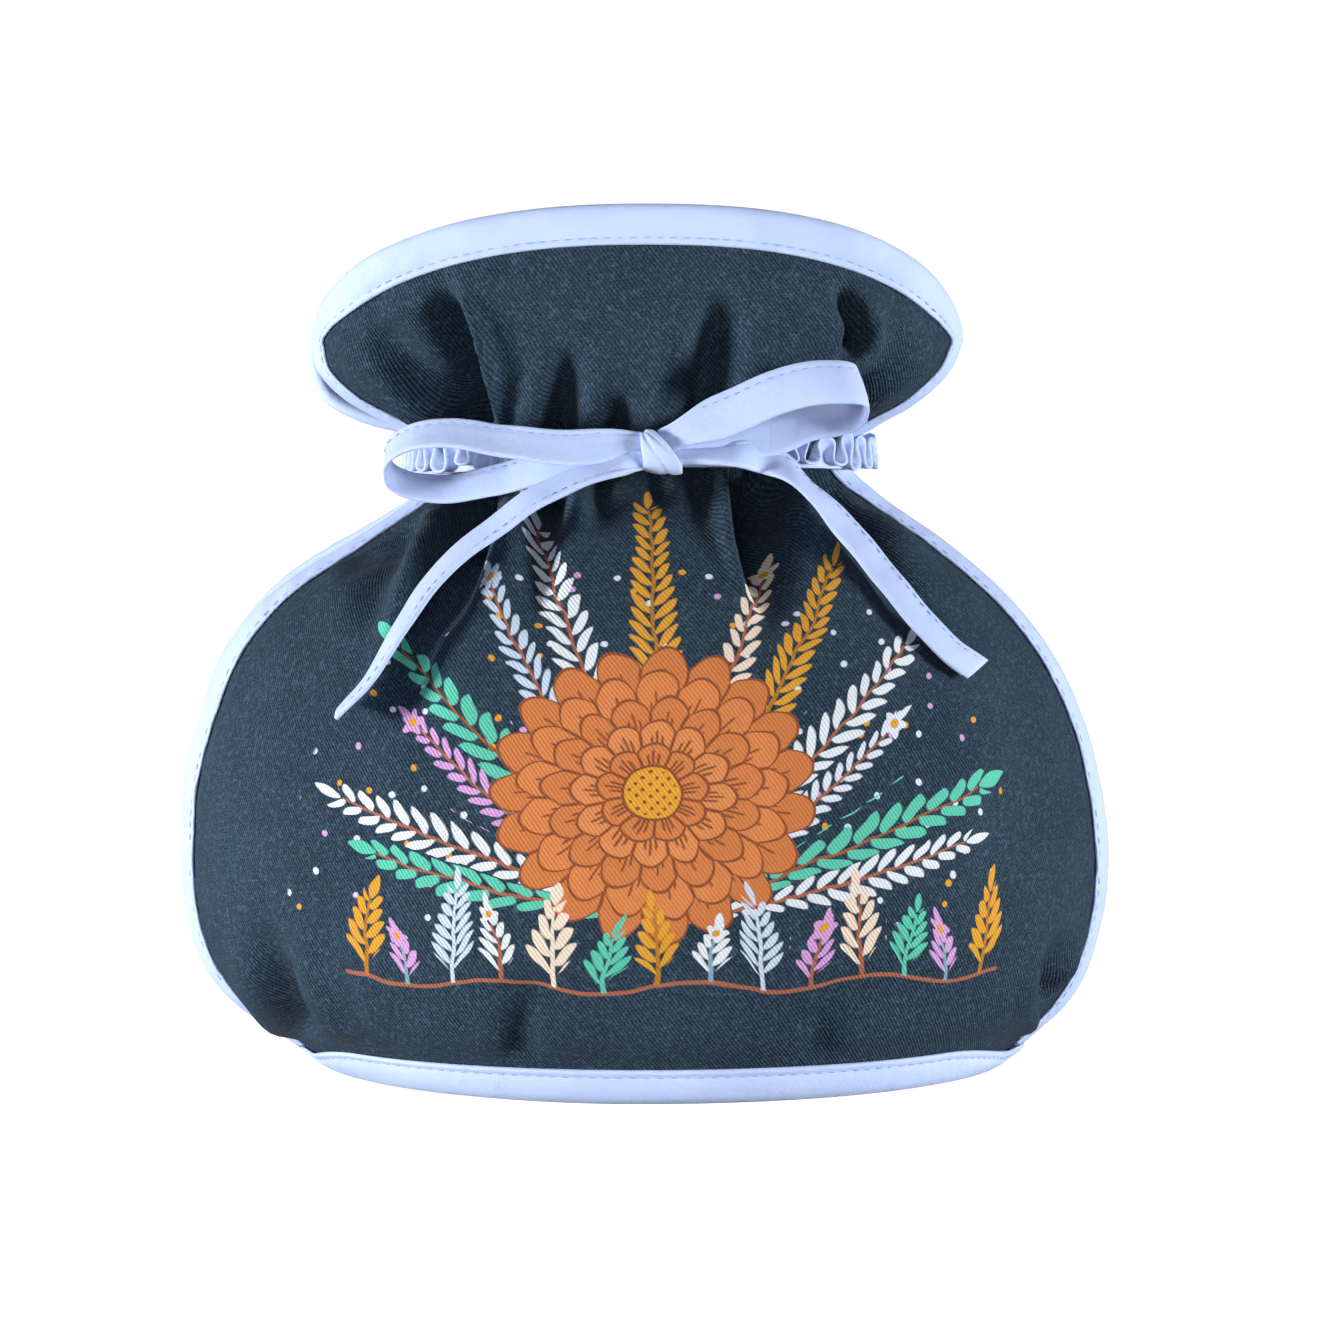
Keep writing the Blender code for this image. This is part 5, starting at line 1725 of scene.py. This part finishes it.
@dataclass
class RibbonTie:
    """The tied ribbon: two loops, two tails and the knot round them."""

    front: PanelForm
    finishes: Finishes
    step: float = 1.2
    width: float = 8.6
    thickness: float = 1.1
    knot: tuple[float, float, float] = (3.2, -48.8, 147.2)
    knot_cloth: float = 32.0  # the ribbon's length inside the knot
    knot_deep: float = 4.8  # half the knot's depth
    knot_tall: float = 5.2  # half its height
    knot_hole: float = 0.55  # the size of its inside, as a share of its outside
    pinch_reach: float = 15.0
    # Where it is drawn together: how much narrower, how much thicker, and its pleats' height.
    pinch_narrow: float = 0.42
    pinch_swell: float = 0.9
    pleat: float = 0.45
    # Where it lies free: how far its edges curl back, and how high it ripples.
    curl: float = 0.35
    ripple: float = 0.12
    loop_spreads: tuple[float, float] = (1.04, 1.26)
    tail_spread: float = 0.96
    tail_cuts: tuple[float, float] = (1.5, 4.0)
    # The way across each loop; the left one turns over between its ends.
    left_lean: tuple[float, float, float] = (0.03, 0.36, 0.93)
    left_turned: tuple[float, float, float] = (0.03, 0.78, 0.62)
    right_lean: tuple[float, float, float] = (-0.28, 0.34, 0.90)
    # The stitches: their pitch, their place across, and where they start and stop.
    stitch_pitch: float = 2.7
    stitch_share: float = 0.64
    stitch_margin: float = 12.0
    stitch_end: float = 1.5
    # The ribbon's section: shares of half its width, and of half its thickness.
    section: tuple[tuple[float, float], ...] = (
        (1.0, 0.0), (0.97, 0.75), (0.88, 1.05), (0.72, 1.0), (0.64, 0.78), (0.56, 1.0),
        (0.3, 1.12), (0.0, 1.15), (-0.4, 1.12), (-0.75, 1.05), (-0.95, 0.75), (-1.0, 0.0),
        (-0.95, -0.75), (-0.75, -1.05), (-0.4, -1.12), (0.0, -1.15), (0.3, -1.12),
        (0.56, -1.0), (0.64, -0.78), (0.72, -1.0), (0.88, -1.05), (0.97, -0.75),
    )

    def hung(self, hangs: Sequence[Hang]) -> tuple[Array, Array]:
        """A tail's points and its directions across."""
        points, ways = [], []
        for hang in hangs:
            x, z = hang.x, hang.z
            for _ in range(6):
                off = self.front.point(np.array([x]), np.array([z]), np.array([hang.out]))[0]
                x += (hang.x - off[0]) * 0.7
                z += (hang.z - off[2]) * 0.7
            points.append(self.front.point(np.array([x]), np.array([z]), np.array([hang.out]))[0])
            ways.append(self.front.normal(np.array([x]), np.array([z]))[0])
        line = np.array(points)
        ahead = unit(np.gradient(line, axis=0))
        flat = unit(np.cross(ways, ahead))
        turn = np.radians([hang.turn for hang in hangs])[:, None]
        return line, flat * np.cos(turn) + np.cross(ahead, flat) * np.sin(turn)

    def ribbon(self, name: str, run: Run) -> tuple[bpy.types.Mesh, Array, Array, Array]:
        """Makes one run of the ribbon.

        Args:
            name: The mesh's name.
            run: The run.

        Returns:
            Its mesh, then its line, its directions across and its directions out.
        """
        line = even_path(run.points, self.step)
        curve = Curve(np.linspace(0.0, 1.0, len(run.across)), run.across)
        given = curve(np.linspace(0.0, 1.0, len(line)))
        ahead = unit(np.gradient(line, axis=0))
        wide = unit(given - ahead * np.sum(given * ahead, axis=1, keepdims=True))
        out = np.cross(ahead, wide)
        along = lengths_along(line)
        pinch = np.zeros(len(line))
        for pinched, from_knot in zip(run.pinches, (along, along[-1] - along)):
            if pinched:
                pinch = np.maximum(pinch, 1 - smooth_step(from_knot, 2.0, self.pinch_reach))
        half = self.width / 2 * run.spread * (1 - self.pinch_narrow * pinch)
        thick = self.thickness / 2 * (1 + self.pinch_swell * pinch)
        a, b = np.array(self.section).T
        pleat = np.sin(a[None, :] * 7.5 + 0.6) * self.pleat * pinch[:, None]
        pleat = pleat * (1 - np.abs(a[None, :]))
        cup = -self.curl * (a[None, :] ** 2) * (1 - pinch[:, None])
        ripple = self.ripple * unevenness(line, 13.0, 71)[:, None]
        offset = b[None, :] * thick[:, None] + pleat + cup + ripple
        sections = line[:, None] + wide[:, None] * (a[None, :] * half[:, None])[..., None]
        sections = sections + out[:, None] * offset[..., None]
        slant = run.cut * smooth_step(along, along[-1] - 6.0, along[-1])[:, None] * a[None, :] / 2
        sections = sections + ahead[:, None] * slant[..., None]
        return strip_mesh(name, sections, False, self.front.form.middle_x), line, wide, out

    def knot_mesh(self) -> bpy.types.Mesh:
        """The band of ribbon drawn round the middle, with its flap."""
        share = np.linspace(-1.0, 1.0, 21)
        middle = np.array(self.knot)
        outer, inner = [], []
        for angle in np.linspace(0.0, 2 * np.pi, 72, endpoint=False):
            up = math.sin(angle)
            tip = math.exp(-(((angle - 1.62 * np.pi) / 0.5) ** 2))
            x = share * (3.7 - 0.9 * up - 0.9 * up * up) - 1.6 * up - 0.5 * up * up + 0.8 * tip * share
            swell = np.sqrt(np.maximum(0.0, 1 - (share * 0.9) ** 2))
            crease = bell(share - 0.75 + 0.9 * (angle % np.pi), 0.13)
            crease = crease + bell(share + 0.2 + 0.5 * up, 0.16)
            radius = 0.70 + 0.30 * swell - 0.07 * crease + 0.16 * tip * np.maximum(share, 0.0)
            for face, scale in ((outer, 1.0), (inner, self.knot_hole)):
                y = -self.knot_deep * scale * math.cos(angle) * radius
                z = self.knot_tall * scale * up * radius
                face.append(np.stack([middle[0] + x, middle[1] + y, middle[2] + z], axis=1))
        sections = np.concatenate([np.array(outer), np.array(inner)[:, ::-1]], axis=1)
        return strip_mesh("bow_knot", sections, True, self.front.form.middle_x)

    def runs(self) -> dict[str, Run]:
        """The two loops and the two tails, by name."""
        turned = np.sin(np.linspace(0.0, np.pi, len(LEFT_LOOP)))[:, None] ** 2
        left = np.array([self.left_lean]) * (1 - turned) + np.array([self.left_turned]) * turned
        right = np.tile(self.right_lean, (len(RIGHT_LOOP), 1))
        both, start = (True, True), (True, False)
        return {
            "bow_left_loop": Run(np.array(LEFT_LOOP), left, both, 0.0, self.loop_spreads[0]),
            "bow_right_loop": Run(np.array(RIGHT_LOOP), right, both, 0.0, self.loop_spreads[1]),
            "bow_left_tail": Run(*self.hung(LEFT_TAIL), start, self.tail_cuts[0], self.tail_spread),
            "bow_right_tail": Run(*self.hung(RIGHT_TAIL), start, self.tail_cuts[1], self.tail_spread),
        }

    def build(self, name: str, node: str) -> list[bpy.types.Object]:
        """Makes the bow as one piece and its stitching as another.

        Args:
            name: The bow's name.
            node: The CAD node that it stands for.

        Returns:
            The bow, then its stitching.
        """
        bm = bmesh.new()
        total, middles, alongs, outs = 0.0, [], [], []
        for title, run in self.runs().items():
            mesh, line, wide, out = self.ribbon(title, run)
            bm.from_mesh(mesh)
            bpy.data.meshes.remove(mesh)
            along = lengths_along(line)
            total += along[-1]
            margin = self.stitch_margin if run.pinches[1] else self.stitch_end
            at = np.arange(self.stitch_margin, along[-1] - margin, self.stitch_pitch)
            seam = line + wide * (self.stitch_share * run.spread * self.width / 2)
            for way in (1, -1):
                face = seam + out * (way * (self.thickness * 0.42 + 0.1) - 0.15)
                middles.append(read_at(at, along, face))
                alongs.append(read_at(at, along, np.gradient(line, axis=0)))
                outs.append(read_at(at, along, out * way))
        knot = self.knot_mesh()
        bm.from_mesh(knot)
        bpy.data.meshes.remove(knot)
        mesh = mesh_of(bm, name)
        mesh.shade_smooth()
        bow = add_piece(name, mesh, [self.finishes.cotton])
        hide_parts(node)
        mesh = stitch_mesh(
            name + "_stitching", np.concatenate(middles), np.concatenate(alongs), np.concatenate(outs),
            RIBBON_STITCH, self.front.form.middle_x,
        )
        stitching = add_piece(name + "_stitching", mesh, [self.finishes.thread])
        # The flat width counts two thicknesses over the ribbon's own width.
        (self.width + 2 * self.thickness) * MM
        return [bow, stitching]


# ------------------------------------------------------------------------ studio
class Lamp(NamedTuple):
    """A square soft light: its place and size in metres, and its power in watts."""

    name: str
    place: tuple[float, float, float]
    size: float
    power: float


@dataclass
class Studio:
    """The pale floor, the soft lights and the camera at the photograph's angle."""

    distance: float = 1.2
    elevation: float = 4.5
    aim: tuple[float, float, float] = (0.0058, 0.0, 0.0935)
    lens: float = 134.6
    sun_power: float = 0.02
    dim: float = 0.09  # the world's strength round the camera
    lamps: tuple[Lamp, ...] = (
        Lamp("left_light", (-1.46, -0.56, 0.04), 0.45, 70.0),
        Lamp("right_light", (1.5, -0.54, 0.03), 0.5, 60.0),
        Lamp("front_light", (-0.2, -1.8, 0.04), 0.7, 14.0),
    )

    def floor(self) -> None:
        """A wide pale floor."""
        bm = bmesh.new()
        bmesh.ops.create_circle(bm, cap_ends=True, segments=96, radius=14.0)
        mesh = mesh_of(bm, "studio_floor")
        mesh.materials.append(FloorFinish().make())
        floor = bpy.data.objects.new("studio_floor", mesh)
        floor.visible_diffuse = floor.visible_glossy = False
        bpy.context.scene.collection.objects.link(floor)

    def light(self, lamp: Lamp) -> None:
        """A square soft light that looks at the cosy."""
        data = bpy.data.lights.new(lamp.name, "AREA")
        data.shape, data.size, data.energy = "SQUARE", lamp.size, lamp.power
        holder = bpy.data.objects.new(lamp.name, data)
        holder.location = lamp.place
        away = Vector(self.aim) - Vector(lamp.place)
        holder.rotation_euler = away.to_track_quat("-Z", "Y").to_euler()
        bpy.context.scene.collection.objects.link(holder)

    def camera(self) -> None:
        """The camera."""
        turn = math.radians(self.elevation)
        away = Vector((0.0, -math.cos(turn), math.sin(turn))) * self.distance
        data = bpy.data.cameras.new("photo_camera")
        data.lens, data.sensor_width, data.clip_start = self.lens, 36.0, 0.01
        camera = bpy.data.objects.new("photo_camera", data)
        camera.location = Vector(self.aim) + away
        camera.rotation_euler = (-away).to_track_quat("-Z", "Y").to_euler()
        bpy.context.scene.collection.objects.link(camera)
        bpy.context.scene.camera = camera

    def sun(self) -> None:
        """A very soft light from high on the left, which keeps the whole floor white."""
        lamp = bpy.data.lights.new("sky_light", "SUN")
        lamp.energy, lamp.angle = self.sun_power, math.radians(80.0)
        holder = bpy.data.objects.new("sky_light", lamp)
        holder.rotation_euler = Vector((0.45, 0.6, -1.0)).to_track_quat("-Z", "Y").to_euler()
        bpy.context.scene.collection.objects.link(holder)

    def world(self) -> None:
        """White behind the cosy, and dimmer round the camera."""
        world = bpy.data.worlds.new("studio_world")
        world.use_nodes = True
        nodes, links = world.node_tree.nodes, world.node_tree.links
        split = nodes.new("ShaderNodeSeparateXYZ")
        links.new(nodes.new("ShaderNodeTexCoord").outputs["Generated"], split.inputs[0])
        ramp = nodes.new("ShaderNodeMapRange")
        ends = {"From Min": 0.82, "From Max": 0.96, "To Min": self.dim, "To Max": 1.05}
        for name, value in ends.items():
            ramp.inputs[name].default_value = value
        links.new(split.outputs[1], ramp.inputs["Value"])
        links.new(ramp.outputs[0], nodes["Background"].inputs["Strength"])
        nodes["Background"].inputs["Color"].default_value = (1.0, 1.0, 1.0, 1.0)
        bpy.context.scene.world = world

    def build(self) -> None:
        """Sets up the studio."""
        self.camera()
        self.floor()
        self.world()
        self.sun()
        for lamp in self.lamps:
            self.light(lamp)
        bpy.context.scene.view_settings.view_transform = "Standard"


def mirrored(folds: Sequence[Fold]) -> tuple[Fold, ...]:
    """The same folds with left and right exchanged, a little deeper or shallower."""
    rng = np.random.default_rng(11)
    made = []
    for fold in folds:
        shift, deep = rng.uniform(-3.0, 3.0), rng.uniform(0.8, 1.2)
        path = tuple((-x + shift, z, d * deep) for x, z, d in fold.path)
        made.append(Fold(path, fold.right, fold.left))
    return tuple(made)


def main() -> None:
    """Builds the cosy's pieces round the frame, and the studio."""
    logging.basicConfig(level=logging.INFO, format="%(name)s: %(message)s")
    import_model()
    Studio().build()
    form = CosyForm()
    front = PanelForm(form, Face.FRONT, FRONT_FOLDS, 3)
    back = PanelForm(form, Face.BACK, mirrored(FRONT_FOLDS), 8)
    finishes = Finishes()
    made = [
        PaddedPanel(front, finishes).build("front_cloth", "front_panel"),
        PaddedPanel(back, finishes).build("back_cloth", "back_panel"),
        *BiasBinding(front, finishes).build("front_edging", "front_binding"),
        *BiasBinding(back, finishes).build("back_edging", "back_binding"),
        *HemBand(front, back, finishes).build("hem_edging", "hem_band"),
        NeckFrill(front, back, finishes).build("neck_ruffle", "neck_frill"),
        *RibbonTie(front, finishes).build("ribbon_bow", "tie_bow"),
    ]
    for piece in made:
        LOG.info("%s: %d faces", piece.name, len(piece.data.polygons))


if __name__ == "__main__":
    main()
